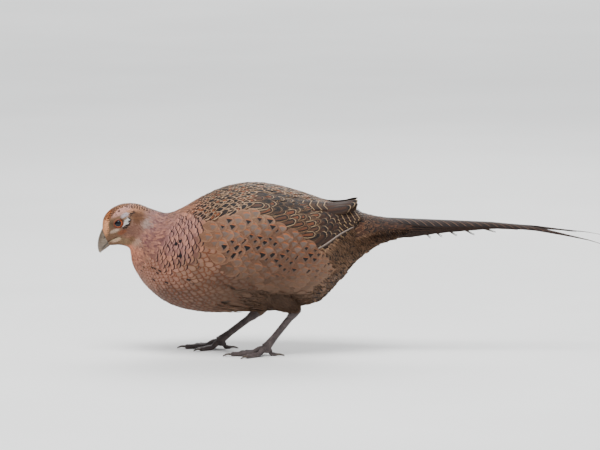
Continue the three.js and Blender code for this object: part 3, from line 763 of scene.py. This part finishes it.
def plant(name, station, angle, gap, spec, loft=BODY, side=0, home_from=0.0, rise=0.0):
    """One coat piece: a cupped vane at each root, wrapped over the body along the lie of the coat."""
    count = len(station)
    rows, columns = spec["grid"]
    half, length = spec["half"], spec["length"]
    size = np.clip(gap / spec["spacing"], 0.5, 1.25) * RNG.uniform(0.94, 1.06, count)
    s, a = lattice(rows, columns, -1, 1)
    s, a = s[None], a[None]
    each = lambda v: np.asarray(v).reshape(-1, 1, 1)
    grow = np.minimum(1, 0.2 + 1.7 * s) * (1 - 0.2 * s**4)
    frayed = 1 - spec["rag"] * RNG.uniform(0, 1, (count, 1, columns + 1)) * s**2
    ahead = length * each(size) * s * (1 - spec["pull"] * np.abs(a) ** spec["square"]) * frayed
    across = half * each(size) * grow * a
    turn = RNG.normal(0, 5, count)
    if spec["points"] is not None and loft is BODY:
        along, _ = loft.ways(station, angle)
        lie = np.degrees(np.arctan2(along[:, 2], -along[:, 0]))
        turn = turn + (spec["points"] - lie) * smooth(folded(angle), 16, 60)
        turn = turn / np.maximum(0.3, np.abs(np.sin(np.radians(angle))))
    shape = ahead.shape
    st, an = (np.broadcast_to(each(v), shape) for v in (station, angle))
    st, an = loft.walk(st, an, ahead, across, np.broadcast_to(each(turn), shape))
    root, tip = spec["lift"]
    loose = RNG.normal(0, spec["loose"], count) * (tip - root)
    lift = mix(root, tip + each(loose), s**0.9) - 0.10 * half * a**2 * (0.3 + 0.7 * s) + each(rise)
    if loft is BODY:
        lift = lift + wing_rise(st, an) - TAIL_SINK * smooth(st, 16.6, 18.6)
    places = loft.point(st, an, lift)
    seen = places[:, round(rows * 0.75), columns // 2]
    keep = np.ones(count, bool)
    if loft is BODY:
        keep = ~(in_eye(seen) | in_eye(places[:, 0, columns // 2]) | in_eye(places[:, -1, columns // 2]))

    def spread(v):
        """One value, or one row of them, for each kept feather, at all its vertices."""
        v = np.asarray(v).reshape(count, 1, 1, -1)
        return np.broadcast_to(v, (*shape, v.shape[-1]))[keep].reshape(-1, v.shape[-1])

    shift = spec["spacing"] * (0.35 if spec["spacing"] > 2 else 0.16)
    values = {
        "tint": spread(coat_colour(seen + RNG.normal(0, shift, seen.shape) * [1, 0, 1])),
        "tone": spread(RNG.uniform(0, 1, count))[:, 0],
        "chance": spread(RNG.uniform(0, 1, count))[:, 0],
        "marked": spread(marked(station, angle, seen))[:, 0],
        "crisp": spread(crisp(seen))[:, 0],
    }
    sided = np.where(np.sin(np.radians(angle)) > 0, 1.0, -1.0) * half
    feather = np.stack([a * each(sided), (1 - s) * length + 0 * each(sided)], -1)[keep].reshape(-1, 2)
    patch = np.broadcast_to(np.stack([a / 2, s - 0.5], -1), (*shape, 2))[keep].reshape(-1, 2) * PATCH
    home = spread(np.stack([home_from + station / MAP_STATIONS, (angle % 360) / 360], -1))
    first = np.arange(keep.sum())[:, None, None] * (rows + 1) * (columns + 1)
    faces = (grid_faces(rows, columns)[None] + first).reshape(-1, 4)
    piece = make_mesh(name, places[keep].reshape(-1, 3) + [0, side, 0], faces, spec["paint"],
                      uvs={"OFBake": home + patch, "Feather": feather}, values=values)
    return piece


def leg_loft(leg):
    """The feathered thigh down to the hock, as a loft in its own level."""
    top, hock = np.array(leg["thigh"], float)[[0, 2]], np.array(leg["hock"], float)[[0, 2]]
    along = unit(hock - top)
    across = np.array([-along[1], along[0]])
    across = across if across[1] > 0 else -across
    radii = [(-0.5, 13.0), (-0.2, 15.0), (0.1, 15.5), (0.45, 12.6), (0.75, 8.8), (1.0, 5.9), (1.12, 3.0)]
    sections = []
    for t, radius in radii:
        middle = mix(top, hock, t)
        sections.append([*(middle + across * radius), *(middle - across * radius), radius * 0.8, 0])
    return Loft(np.array(sections))


def dress_body():
    """The skin over head, neck, torso and thighs, and the coat on it."""
    rows, columns = 260, 120
    t, angle = lattice(rows, columns, 0, 360)
    station = SKIN_END * t**1.15  # closer rows towards the head
    draw = round_end(station / 0.12) * round_end((SKIN_END - station) / 0.5)
    places = surface(station, angle, -coat_depth(station) - socket_depth(BODY.skin(station, angle)))
    ends = spline(STATIONS, station)
    middle = np.stack([(ends[..., 0] + ends[..., 2]) / 2, 0 * t, (ends[..., 1] + ends[..., 3]) / 2], -1)
    places = mix(middle, places, draw[..., None]).reshape(-1, 3)
    faces = grid_faces(rows, columns)[:, ::-1]
    uv = np.stack([station / MAP_STATIONS, angle / 360], -1).reshape(-1, 2)
    thighs = {name: leg_loft(leg) for name, leg in LEGS.items()}
    for name, loft in thighs.items():
        t, angle = lattice(40, 40, 0, 360)
        leg_places = loft.point(t * loft.last, angle, -0.8 + 0 * t) + [0, LEGS[name]["thigh"][1], 0]
        faces = np.concatenate([faces, grid_faces(40, 40)[:, ::-1] + len(places)])
        places = np.concatenate([places, leg_places.reshape(-1, 3)])
        leg_uv = np.stack([LEGS[name]["map"] + t * loft.last / THIGH_STATIONS, angle / 360], -1)
        uv = np.concatenate([uv, leg_uv.reshape(-1, 2)])
    skin = make_mesh("skin", places, faces, SKIN.material, {"OFBake": uv}, {"tint": coat_colour(places)})
    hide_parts("torso", "neck", "head", "thigh_left", "thigh_right")
    pieces = [skin]
    for number, (name, spec) in enumerate(ZONES.items()):
        station, angle, gap = rows_of(BODY, spec["round"], spec["apart"], COAT_START, COAT_END)
        place = BODY.skin(station, angle)
        chosen = zone_of(station, angle, place) == number
        chosen &= RNG.uniform(16.4, 18.6, len(station)) > station
        station, angle, gap = station[chosen], angle[chosen], gap[chosen]
        rise = flank_rise(place[chosen]) if name == "flank" else 0.0
        pieces.append(plant(f"coat_{name}", station, angle, gap, spec, rise=rise))
    short = dict(ZONES["belly"], spacing=2.6, length=9.5, half=1.5, lift=(-0.4, 0.5))
    for name, loft in thighs.items():
        station, angle, gap = rows_of(loft, 30, 0.7, 0.8, loft.last - 0.5)
        home = LEGS[name]["map"] + station / THIGH_STATIONS - station / MAP_STATIONS
        middle = LEGS[name]["thigh"][1]
        pieces.append(plant(f"coat_thigh_{name}", station, angle, gap, short, loft, middle, home))
    return pieces


def socket_depth(place):
    """How far the skin sinks round the eye."""
    reach = np.hypot(place[..., 0] - EYE[0], place[..., 2] - EYE[2])
    return 1.6 * fade(reach, 4.5, 9.0)


# Head parts


def make_eyes():
    """Eyeballs with a dark pupil in an orange-brown iris."""
    paint = Paint("eye", 0.06, Coat_Weight=0.3, Coat_Roughness=0.03, Specular_IOR_Level=0.12)
    reach, turn = paint.value("reach"), paint.value("turn")
    fibres = paint.noise(1.0, 3.0, paint.node("ShaderNodeCombineXYZ", {0: turn * 14.0, 1: reach * 1.5}))
    paint.ground = paint.mix(paint.step(fibres, 0.35, 0.65), (140, 66, 40), (182, 98, 58))
    paint.over(paint.step(reach, 4.3, 5.2), (92, 40, 28))
    paint.over(paint.until(reach, 3.7, 4.0), (62, 28, 22))
    paint.colour(paint.mix(paint.step(reach, 3.5, 3.7), (6, 7, 16), paint.ground))
    pieces = []
    rings, columns = 40, 48
    for name, side in SIDES.items():
        out = unit(np.array([0.16, 0.97 * side, 0.12]))
        up = unit(np.cross(out, [1.0, 0, 0]))
        ahead = np.cross(up, out)

        def point(t, angle):
            """A ball with a slightly bulging front."""
            p, a = t[..., None] * math.pi, np.radians(angle)[..., None]
            front = np.cos(p) * out * (1 + 0.05 * fade(p, 0, 0.75))
            ring = np.cos(a) * ahead + np.sin(a) * up
            return EYE * [1, side, 1] + EYE_RADIUS * (front + np.sin(p) * ring)

        places, faces = tube(point, rings, columns)
        p = np.repeat(np.linspace(0, math.pi, rings + 1), columns)
        reach_of = np.where(p < math.pi / 2, np.sin(p) * EYE_RADIUS, 9.0)
        around = np.tile(np.abs(np.linspace(-1, 1, columns)), rings + 1)
        eye = make_mesh(f"eyeball_{name}", places, faces[:, ::side], paint.material,
                        values={"reach": reach_of, "turn": around})
        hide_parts(f"eye_{name}")
        pieces.append(eye)
    return pieces


def face_y(x, z):
    """How far out the head's surface is at a side view place."""
    station, angle = np.full(np.shape(x), 2.0), np.full(np.shape(x), 90.0)
    for _ in range(40):
        p = BODY.skin(station, angle)
        along, around = BODY.ways(station, angle)
        det = along[..., 0] * around[..., 2] - along[..., 2] * around[..., 0]
        dx, dz = x - p[..., 0], z - p[..., 2]
        station = np.clip(station + 0.7 * (dx * around[..., 2] - dz * around[..., 0]) / det, 0.05, 7)
        angle = np.clip(angle + 0.7 * (along[..., 0] * dz - along[..., 2] * dx) / det, 8, 172)
    return BODY.skin(station, angle)[..., 1]


def make_lids():
    """Bare lids round each eye, with an almond opening that points up and back."""
    paint = Paint("lids", 0.5, Specular_IOR_Level=0.3)
    inner = paint.value("inner")
    paint.ground = paint.deepened(paint.value("tint", colour=True), COAT_GAIN)
    paint.over(paint.step(inner, 0.45, 0.8), (120, 70, 50))
    paint.over(paint.step(inner, 0.78, 0.9), (84, 34, 24))
    paint.over(paint.step(paint.value("corner"), 0.35, 0.8) * paint.step(inner, 0.45, 0.7), (112, 40, 30))
    wrinkles = paint.step(paint.noise(1500.0, 4.0), 0.3, 0.7)
    paint.colour(paint.mix(wrinkles * 0.5, paint.ground, (190, 130, 96), "SOFT_LIGHT"))
    paint.bump(paint.noise(2200.0, 5.0), 0.0002, 0.6)
    rows, columns = 16, 80
    t, angle = lattice(rows, columns - 1, 0, 360 - 360 / columns)
    a = np.radians(angle)
    long, high = np.cos(a), np.sin(a)
    from_back = np.abs(np.angle(np.exp(1j * (a - math.pi))))
    corner_reach = 1 + 0.26 * np.exp(-((from_back / 0.42) ** 2))
    opening = [LID_OPENING[0] * long * corner_reach, LID_OPENING[1] * high * (1 - 0.1 * long**2)]
    border = [LID_BORDER[0] * long, LID_BORDER[1] * high]
    ahead, up = (mix(border[i], opening[i], t**0.9) for i in (0, 1))
    c, s = math.cos(LID_TURN), math.sin(LID_TURN)
    x = EYE[0] + ahead * c - up * s
    z = EYE[2] + ahead * s + up * c
    reach = np.hypot(x - EYE[0], z - EYE[2])
    ball = EYE[1] + np.sqrt(np.maximum((EYE_RADIUS + 0.5) ** 2 - reach**2, 0.5))
    skin = face_y(x, z) - 0.7
    fold = 0.3 * np.sin(t * math.pi * 5) * smooth(t, 0.15, 0.4) * fade(t, 0.85, 1)
    y = mix(skin, np.maximum(ball, skin - 1), smooth(t, 0.05, 0.7)) + fold
    brow = 0.6 * smooth(high, 0.2, 0.9) * smooth(t, 0.2, 0.6)
    y = y + brow * fade(t, 0.9, 1) - 0.55 * smooth(t, 0.9, 1.0)
    pieces = []
    for name, side in SIDES.items():
        places = np.stack([x, y * side, z], -1).reshape(-1, 3)
        corner = np.exp(-((from_back / 0.5) ** 2)).ravel()
        values = {"inner": t.ravel(), "tint": coat_colour(places), "corner": corner}
        faces = grid_faces(rows, columns, wrap=True)[:, ::-side]
        lids = make_mesh(f"lids_{name}", places, faces, paint.material, values=values)
        pieces.append(lids)
    return pieces


def mouth_z(x):
    """The height of the mouth's line."""
    t = np.linspace(0, len(MOUTH) - 1, 60)
    line = spline(MOUTH, t)
    return np.interp(x, line[:, 0], line[:, 1])


def bill_half(name, sign, paint):
    """One half of the bill, sign 1 for the upper. It is round outside and nearly flat along the mouth."""
    rows, around, across = 48, 40, 12
    shape = Loft(BILL)
    t = np.linspace(0, 1, rows + 1)
    station = 0.3 + (shape.last - 0.3) * t**0.8
    low, high = np.full(rows + 1, 1.0), np.full(rows + 1, 179.0)
    for _ in range(30):
        middle = (low + high) / 2
        p = shape.skin(station, middle)
        over = p[:, 2] > mouth_z(p[:, 0]) + 0.15 * sign
        low, high = np.where(over, middle, low), np.where(over, high, middle)
    split = ((low + high) / 2)[:, None]
    sweep = np.linspace(-1, 1, around + 1)[None]
    angle = sweep * split if sign > 0 else 180 + sweep * (180 - split)
    station = station[:, None] + 0 * angle
    outer = shape.skin(station, angle)
    x, z = outer[..., 0] - NOSTRIL[0], outer[..., 2] - NOSTRIL[1]
    run, drop = x * 0.58 - z * 0.81, x * 0.81 + z * 0.58
    flap = 0.9 * np.exp(-((run / 2.6) ** 2) - ((drop - 0.4) / 1.1) ** 2)
    # The slit and the seam make up the groove, which the horn paints near black: painted shade in the nostril
    # and along the mouth's crack.
    slit = np.exp(-((run / 1.9) ** 2) - ((drop + 1.0) / 0.5) ** 2)
    seam = np.exp(-(((outer[..., 2] - mouth_z(outer[..., 0])) / 0.8) ** 2))
    groove = np.maximum(seam, slit * (sign > 0))
    lift = (flap - 1.3 * slit) * smooth(np.abs(np.sin(np.radians(angle))), 0.4, 0.8) * (sign > 0)
    outer = shape.point(station, angle, lift)
    w = np.linspace(0, 1, across + 1)[1:-1]
    inner = mix(outer[:, -1:], outer[:, :1], w[None, :, None])
    inner[..., 2] += 0.9 * sign * np.sin(w * math.pi)
    ring = np.concatenate([outer, inner], 1)
    ring = mix(ring.mean(1, keepdims=True), ring, round_end((1 - t) / 0.1)[:, None, None])
    groove = np.hstack([groove, np.ones((rows + 1, across - 1))])
    faces = grid_faces(rows, around + across, wrap=True)[:, ::-1]
    half = make_mesh(name + "_horn", ring.reshape(-1, 3), faces, paint.material,
                     values={"groove": groove.ravel()})
    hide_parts(name)
    return half


def make_gape():
    """The pale flange at each corner of the mouth."""
    paint = Paint("gape", 0.45)
    paint.colour(paint.mix(paint.step(paint.noise(700.0, 3.0), 0.3, 0.7), (150, 132, 96), (184, 160, 124)))
    rows = 29
    line = spline(MOUTH, np.linspace(0.15, 2.6, rows + 1))
    y = face_y(line[:, 0], line[:, 1]) - 0.35
    pieces = []
    for name, side in SIDES.items():

        def point(t, angle):
            i = (t * rows).round().astype(int)
            a = np.radians(angle)
            r = 0.75 * np.sqrt(np.maximum(0, 1 - (2 * t - 1) ** 4))
            high = line[i, 1] + 0.8 * r * np.sin(a)
            return np.stack([line[i, 0], (y[i] + r * np.cos(a)) * side, high], -1)

        places, faces = tube(point, rows, 12)
        flange = make_mesh(f"gape_{name}", places, faces[:, ::side], paint.material)
        pieces.append(flange)
    return pieces


def make_bill():
    """Two halves of horn that meet along the line of the mouth, with a nostril on each side."""
    paint = Paint("horn", 0.38, Specular_IOR_Level=0.45, Coat_Weight=0.15)
    turned = {"Vector": paint.place(), "Rotation": (0, 0.9, 0), "Scale": (1, 1, 5)}
    growth = paint.noise(260.0, 5.0, paint.node("ShaderNodeMapping", turned))
    paint.ground = paint.mix(paint.step(growth, 0.3, 0.7), (88, 74, 62), (122, 106, 88))
    paint.over(paint.step(paint.noise(90.0, 3.0), 0.5, 0.75), (64, 52, 44))
    # Painted shade: near black in the nostril slit and along the mouth's seam.
    paint.over(paint.step(paint.value("groove"), 0.15, 0.8), (26, 20, 18))
    paint.colour(paint.ground)
    paint.bump(growth + paint.noise(1400.0, 3.0), 0.00025, 0.5)
    halves = [bill_half(name, sign, paint) for name, sign in (("bill_upper", 1), ("bill_lower", -1))]
    return halves + make_gape()


# Wing and tail feathers

def tail_pattern(p):
    """Narrow pale bars edged with black, slanting back across brown."""
    run = p.math("FRACT", (p.y + p.up * 0.9 + p.tone * 9.0) * (1 / 9.0))
    p.ground = p.mix(p.step(p.x, 1.5, 5.0), (82, 60, 50), (50, 36, 32))
    p.wavy(DARK, 0.7)
    p.over(p.band(run, 0.10, 0.34, 0.05), (30, 21, 18))
    p.over(p.band(run, 0.02, 0.09, 0.03) * p.until(p.x, 5.0, 9.0), (150, 118, 98))
    p.over(p.until(p.edge, 0.2, 0.7) * 0.5, (122, 92, 72))


def flight_pattern(p):
    run = p.math("FRACT", (p.y + p.x * 0.5) * (1 / 8.0))
    p.ground = p.mix(p.step(p.x, 1.0, 5.0), (112, 84, 62), (78, 58, 46))
    p.wavy(DARK, 0.8)
    p.over(p.band(run, 0.14, 0.34, 0.05), DARK)
    p.over(p.band(run, 0.02, 0.11, 0.03), (196, 166, 130))


def pale_pattern(p):
    p.ground = p.mix(p.step(p.up, -1.4, 0.6), (196, 182, 172), (120, 104, 92))
    p.over(p.step(p.noise(0.5, 3.0, p.flat), 0.5, 0.7) * 0.5, (110, 92, 78))


QUILLS = {
    "tail": feather_paint("tail feathers", tail_pattern, 9, roughness=0.7, speckle=0.3),
    "flight": feather_paint("flight feathers", flight_pattern, 8, roughness=0.7),
    "tertial": feather_paint("raised wing feathers", covert_pattern, 6.8, roughness=0.75),
    "pale": feather_paint("outer flight feather", pale_pattern, 2.4, roughness=0.5),
}
# Feathers of the folded wing: how many, the stations of root and tips, the angle of root and tip of the
# lowest and the highest, half width and lift in mm, and rows of the mesh
FLIGHT = dict(count=10, root=11.2, tips=(14.6, 15.4, 15.0), low=(102, 66), high=(40, 16), half=8.0,
              lift=(0.2, 3.0), rows=30)
PALE_EDGE = dict(count=2, root=12.3, tips=(14.75, 14.75, 14.75), low=(89, 65), high=(60, 30), half=1.1,
                 lift=(3.4, 4.6), rows=40)
# Raised feathers: station and angle of the root, length, degrees above level and rise of the tip
TERTIALS = [
    (13.2, 22, 36, 4, 10.0),
    (13.0, 30, 38, 6, 8.0),
    (12.9, 38, 36, 10, 6.0),
    (13.5, 27, 30, 8, 6.5),
]


TERTIAL_SHARES = (1.0, 0.7, 0.4, 0.15)  # each raised feather lies on others that rise by a share of it
VANE_THICK = 0.12


def vane_width(s, half, tip):
    """Half the width of a long feather at s along it."""
    grown = smooth(s, -0.25, 0.3)
    closed = np.sqrt(np.maximum(0, 1 - smooth(s, 0.5, 1.02) ** 2))
    return tip + (half - tip) * grown * closed


def long_feathers(name, sheets, paint, node=None):
    """Joins thin closed sheets into one piece, each with its own strip of the OFBake map."""
    places, faces, feather, home, tone = [], [], [], [], []
    start = 0
    for i, (p, f, uv, half, length) in enumerate(sheets):
        places.append(p)
        faces.append(f + start)
        feather.append(np.stack([(uv[:, 0] * 2 - 1) * half, (1 - uv[:, 1]) * length], -1))
        under = np.repeat([0, 0.5], len(uv) // 2)[:, None]
        home.append((uv * [0.8 / len(sheets), 0.46]) + [i / len(sheets), 0.02] + under * [0, 1])
        tone.append(np.full(len(p), RNG.uniform()))
        start += len(p)
    places, tone = np.concatenate(places), np.concatenate(tone)
    whole = np.ones(len(places))
    values = {"tint": coat_colour(places), "tone": tone, "chance": tone, "marked": whole, "crisp": whole}
    uvs = {"OFBake": np.concatenate(home), "Feather": np.concatenate(feather)}
    piece = make_mesh(name, places, np.concatenate(faces), paint, uvs, values)
    if node:
        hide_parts(node)
    return piece


def wing_sheet(tier, i, side):
    """One feather of the folded wing, lying along the body."""
    share = i / (tier["count"] - 1)
    first, middle, last = tier["tips"]
    tip = mix(first, middle, share * 2) if share < 0.5 else mix(middle, last, share * 2 - 1)
    near, far = (mix(tier["low"][end], tier["high"][end], share) for end in (0, 1))

    def point(s, a, face):
        station, angle = mix(tier["root"], tip, s), mix(near, far, s)
        lift = mix(*tier["lift"], smooth(s, 0, 0.5))
        place = BODY.point(station, angle, lift)
        onward = BODY.point(mix(tier["root"], tip, s + 0.01), mix(near, far, s + 0.01), lift)
        along, around = BODY.ways(station, angle)
        up = unit(np.cross(around, along))
        ahead = unit(onward - place)
        across = unit(np.cross(ahead, up))
        offset = a * vane_width(s, tier["half"], 0.6)
        thin = face * VANE_THICK * (1 - 0.5 * np.abs(a)) + VANE_THICK * (1 - np.abs(a))
        back = -3.0 * a**2 * smooth(s, 0.6, 1)
        high = offset * 0.11 - offset**2 / 110 + thin
        place = place + across * offset[..., None] + up * high[..., None]
        return (place + ahead * back[..., None]) * [1, side, 1]

    places, faces, uv = sheet(point, tier["rows"], 8)
    return places, faces[:, ::side], uv, tier["half"] * side, 25.0 * (tip - tier["root"])


def tertial_sheet(spec, share, side):
    """A raised feather at the back of the folded wing, with a share of its full rise."""
    root, angle, length, points, stand = (np.array(float(value)) for value in spec)
    length, stand = length - 2 * (1 - share), stand * share
    start = BODY.point(root, angle, np.array(2.4))
    aim = math.radians(points)
    ahead = unit(np.array([-math.cos(aim), -0.16, math.sin(aim)]))
    _, around = BODY.ways(root, angle)
    across = unit(around - ahead * np.dot(around, ahead))
    up = np.cross(across, ahead)
    up = up if up[2] > 0 else -up

    def point(s, a, face):
        offset = a * vane_width(s, 6.2, 3.4)
        blunt = -3.5 * np.abs(a) ** 2.5 * smooth(s, 0.5, 1)
        forward = length * s + blunt
        high = stand * s**1.8 - 0.03 * offset**2 + face * 0.14 + 0.5 * (1 - np.abs(a)) - length * 0.26 * s
        place = start + ahead * forward[..., None] + across * offset[..., None] + up * high[..., None]
        return place * [1, side, 1]

    places, faces, uv = sheet(point, 22, 8)
    return places, faces[:, ::side], uv, 6.8, length


def make_wings():
    """Each folded wing: its flight feathers, the pale outer edge and the raised feathers at its end."""
    pieces = []
    for name, side in SIDES.items():
        flight = [wing_sheet(FLIGHT, i, side) for i in range(FLIGHT["count"])]
        pieces.append(long_feathers(f"wing_flight_{name}", flight, QUILLS["flight"], f"wing_{name}"))
        edge = [wing_sheet(PALE_EDGE, 0, side)]
        pieces.append(long_feathers(f"wing_edge_{name}", edge, QUILLS["pale"]))
        raised = [tertial_sheet(spec, share, side) for spec in TERTIALS for share in TERTIAL_SHARES]
        pieces.append(long_feathers(f"wing_tertials_{name}", raised, QUILLS["tertial"]))
    return pieces


def tail_sheet(side, depth, end_x, inner, outer, rows):
    """One tail feather: it follows the tail's ridge and arch, sunk by its depth in the stack."""
    poke = 7.0 * smooth(depth, 2.5, 5)

    def point(s, a, face):
        x = mix(TAIL_ROOT_X, end_x, s)
        narrow = 0.05 + 0.95 * smooth(s, -0.25, 0.3) * fade(s, 0.62, 1.02)
        middle = mix(inner + 2, (inner + outer) / 2, narrow) if depth < 1 else (inner + outer) / 2
        turn = np.radians(middle + a * (outer - inner) / 2 * narrow)
        sunk = depth - face * 0.14
        rise, ridge = (np.interp(x, line[::-1, 0], line[::-1, 1]) for line in (TAIL_ARCH, TAIL_LINE))
        droop = side * 5.8 * smooth(-x, 150, 300) ** 1.5 + poke * smooth(s, 0.82, 1) ** 2
        y = side * (rise * 0.85 - sunk) * np.sin(turn)
        return np.stack([x, y, ridge - sunk - (rise - sunk) * (1 - np.cos(turn)) - droop], -1)

    places, faces, uv = sheet(point, rows, 8)
    return places, faces[:, ::side], uv, 9.0 * side, TAIL_ROOT_X - end_x


def make_tail():
    """Pairs of feathers under one another. The second and third pair cross the middle and close it."""
    sheets = []
    for side in SIDES.values():
        for i, short in enumerate(TAIL_PAIRS):
            crossing = i in (1, 2)
            depth = i + (0.3 if side < 0 and crossing else 0.0)
            inner = -26 if crossing else 1 if i == 0 else 4 + 4.2 * i
            rows = 44 if i else 70
            sheets.append(tail_sheet(side, depth, TAIL_TIP_X + short, inner, 56 + 4.2 * i, rows))
    return [long_feathers("tail_quills", sheets, QUILLS["tail"], "tail")]


# Legs


def scaly_paint():
    """Grey scales with darker lines between them and dark grooves between the scutes."""
    paint = Paint("leg scales", 0.55, Specular_IOR_Level=0.35)
    cells = {"Vector": paint.place(), "Scale": 900.0}
    patch = paint.node("ShaderNodeTexVoronoi", cells, feature="DISTANCE_TO_EDGE")
    paint.ground = paint.mix(paint.step(paint.noise(160.0, 4.0), 0.35, 0.7), (66, 56, 56), (88, 76, 74))
    paint.over(paint.step(paint.value("groove"), 0.2, 0.9), (50, 42, 42))
    paint.colour(paint.mix(paint.step(patch, 0.0, 0.1), (64, 54, 52), paint.ground))
    paint.bump(paint.step(patch, 0.0, 0.15), 0.00025, 0.6)
    return paint.material


def path_tube(points, radius, scutes, rows, columns):
    """A tube along a line with overlapping scutes, and how deep in a groove each vertex is."""
    line = lambda t: spline(points, t * (len(points) - 1))
    middle = line(np.array(0.55)) - line(np.array(0.45))
    flat = unit(np.array([middle[0], middle[1], 0.0]))
    across = np.array([-flat[1], flat[0], 0.0])
    grooves = []

    def point(t, angle):
        ahead = unit(line(np.minimum(1, t + 0.01)) - line(np.maximum(0, t - 0.01)))
        up = unit(np.cross(ahead, across))
        a = np.radians(angle)
        ends = round_end(t / 0.06) * round_end((1 - t) / 0.06)
        phase = (t * scutes) % 1
        top = smooth(np.cos(a), -0.1, 0.4)
        scale = 0.09 * phase**1.5 * top
        grooves.append(fade(phase, 0.0, 0.16) * top)
        r = radius(t) * (ends * (1 + scale))
        return line(t) + across * (r * np.sin(a))[..., None] + up * (r * np.cos(a))[..., None]

    places, faces = tube(point, rows, columns)
    return places, faces, grooves[0].ravel()


def join_tubes(name, tubes, material, node):
    """Joins tubes into the piece that stands for a node."""
    start, places, faces, grooves = 0, [], [], []
    for p, f, g in tubes:
        places.append(p)
        faces.append(f + start)
        grooves.append(g)
        start += len(p)
    piece = make_mesh(name, np.concatenate(places), np.concatenate(faces), material,
                      values={"groove": np.concatenate(grooves)})
    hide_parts(node)
    return piece


def toe_lines(leg, length, turn, radius):
    """The lines of a toe and its claw, from the joint out to the tip."""
    angle = math.radians((turn + leg["heading"]) * leg["side"])
    x, y, z = leg["joint"]
    tread = radius * 0.8
    toe = [(0, z - 2), (length * 0.18, z * 0.72), (length * 0.42, tread + 0.6), (length * 0.7, tread),
           (length, tread * 0.8)]
    claw = [(length - 2.4, tread * 0.9), (length + CLAW_LENGTH * 0.35, tread * 1.05),
            (length + CLAW_LENGTH * 0.75, tread * 0.62), (length + CLAW_LENGTH, 0.45)]
    way = lambda line: [[x + math.cos(angle) * far, y + math.sin(angle) * far, high] for far, high in line]
    return np.array(way(toe)), np.array(way(claw))


def make_legs():
    scales = scaly_paint()
    horn = Paint("claws", 0.35, Specular_IOR_Level=0.5)
    horn.colour(horn.mix(horn.noise(300.0, 3.0), (44, 36, 32), (92, 78, 66)))
    shank_radius = lambda t: np.interp(t * 1.14 - 0.08, *SHANK_RADII.T)
    pieces = []
    for name, leg in LEGS.items():
        hock, joint = np.array(leg["hock"], float), np.array(leg["joint"], float)
        shank_line = np.array([mix(hock, joint, t) for t in np.linspace(-0.08, 1.06, 6)])
        shank = path_tube(shank_line, shank_radius, 17, 170, 40)
        pieces.append(join_tubes(f"shank_{name}_scales", [shank], scales, f"shank_{name}"))
        ball = np.array([joint + [0, 0, 2.5], joint + [0.6, 0, -1], joint + [1, 0, -7.5]])
        tubes = [path_tube(ball, lambda t: 5.3 + 0 * t, 4, 30, 30)]
        for toe_name, length, turn, radius in TOES:
            toe, claw = toe_lines(leg, length, turn, radius)
            swell = lambda t, r=radius: r * (1.15 - 0.35 * t) * (1 + 0.07 * np.cos(t * 6 * math.pi))
            tubes.append(path_tube(toe, swell, max(5, int(length / 2.2)), 90, 28))
            point = path_tube(claw, lambda t: 1.35 * (1 - t) ** 0.7 + 0.22, 1, 30, 16)
            node = f"claw_{name}_{toe_name}"
            pieces.append(join_tubes(f"{node}_horn", [point], horn.material, node))
        for places, _, _ in tubes:
            places[:, 2] = np.maximum(places[:, 2], 0.02)
        pieces.append(join_tubes(f"foot_{name}_scales", tubes, scales, f"foot_{name}"))
    return pieces


# Floor, light and camera

FLOOR_REACH = 40000
LAMPS = [  # name, place, aim, size and power
    ("key", (0.4, 0.8, 2.3), (0.06, 0, 0.12), 1.2, 85),
    ("fill", (-1.4, 1.6, 1.2), (0.06, 0, 0.12), 1.6, 10),
    ("back", (-0.4, -1.6, 1.6), (0.06, 0, 0.12), 1.4, 24),
    ("far floor", (0.0, -5.5, 4.0), (0.0, -4.5, 0.0), 4.0, 260),
]
CAMERA_AIM = (0.0692, 0, 0.1465)
CAMERA_DISTANCE = 8.0
CAMERA_RISE = 7  # degrees above level
PICTURE_WIDTH = 0.684  # metres that the picture shows across at the bird


def make_stage():
    """A plain pale floor, soft lamps and the camera."""
    paint = Paint("floor", 0.75)
    patches = paint.step(paint.noise(3.0, 2.0), 0.3, 0.7)
    paint.colour(paint.mix(patches, (238, 238, 236), (243, 243, 241)))
    corners = np.array([[-1, -1, 0], [1, -1, 0], [1, 1, 0], [-1, 1, 0]]) * FLOOR_REACH
    floor = make_mesh("floor", corners, [[0, 1, 2, 3]], paint.material)
    world = bpy.data.worlds.new("studio")
    bpy.context.scene.world = world
    world.use_nodes = True
    sky = world.node_tree.nodes["Background"]
    sky.inputs["Color"].default_value = (0.86, 0.90, 0.96, 1)
    sky.inputs["Strength"].default_value = 0.5
    for name, place, aim, size, power in LAMPS:
        lamp = bpy.data.lights.new(name, "AREA")
        lamp.size = size
        lamp.energy = power
        light = bpy.data.objects.new(name, lamp)
        bpy.context.scene.collection.objects.link(light)
        light.location = place
        light.rotation_euler = (Vector(aim) - light.location).to_track_quat("-Z", "Y").to_euler()
    camera = bpy.data.cameras.new("camera")
    eye = bpy.data.objects.new("camera", camera)
    bpy.context.scene.collection.objects.link(eye)
    target = Vector(CAMERA_AIM)
    rise = math.radians(CAMERA_RISE)
    eye.location = target + CAMERA_DISTANCE * Vector((0, math.cos(rise), math.sin(rise)))
    eye.rotation_euler = (target - eye.location).to_track_quat("-Z", "Y").to_euler()
    camera.sensor_width = 36
    camera.lens = 36 * CAMERA_DISTANCE / PICTURE_WIDTH
    camera.clip_end = 200
    bpy.context.scene.camera = eye


bird = dress_body() + make_eyes() + make_lids() + make_bill() + make_wings() + make_tail() + make_legs()
for piece in bird:
    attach(piece, "root")
make_stage()
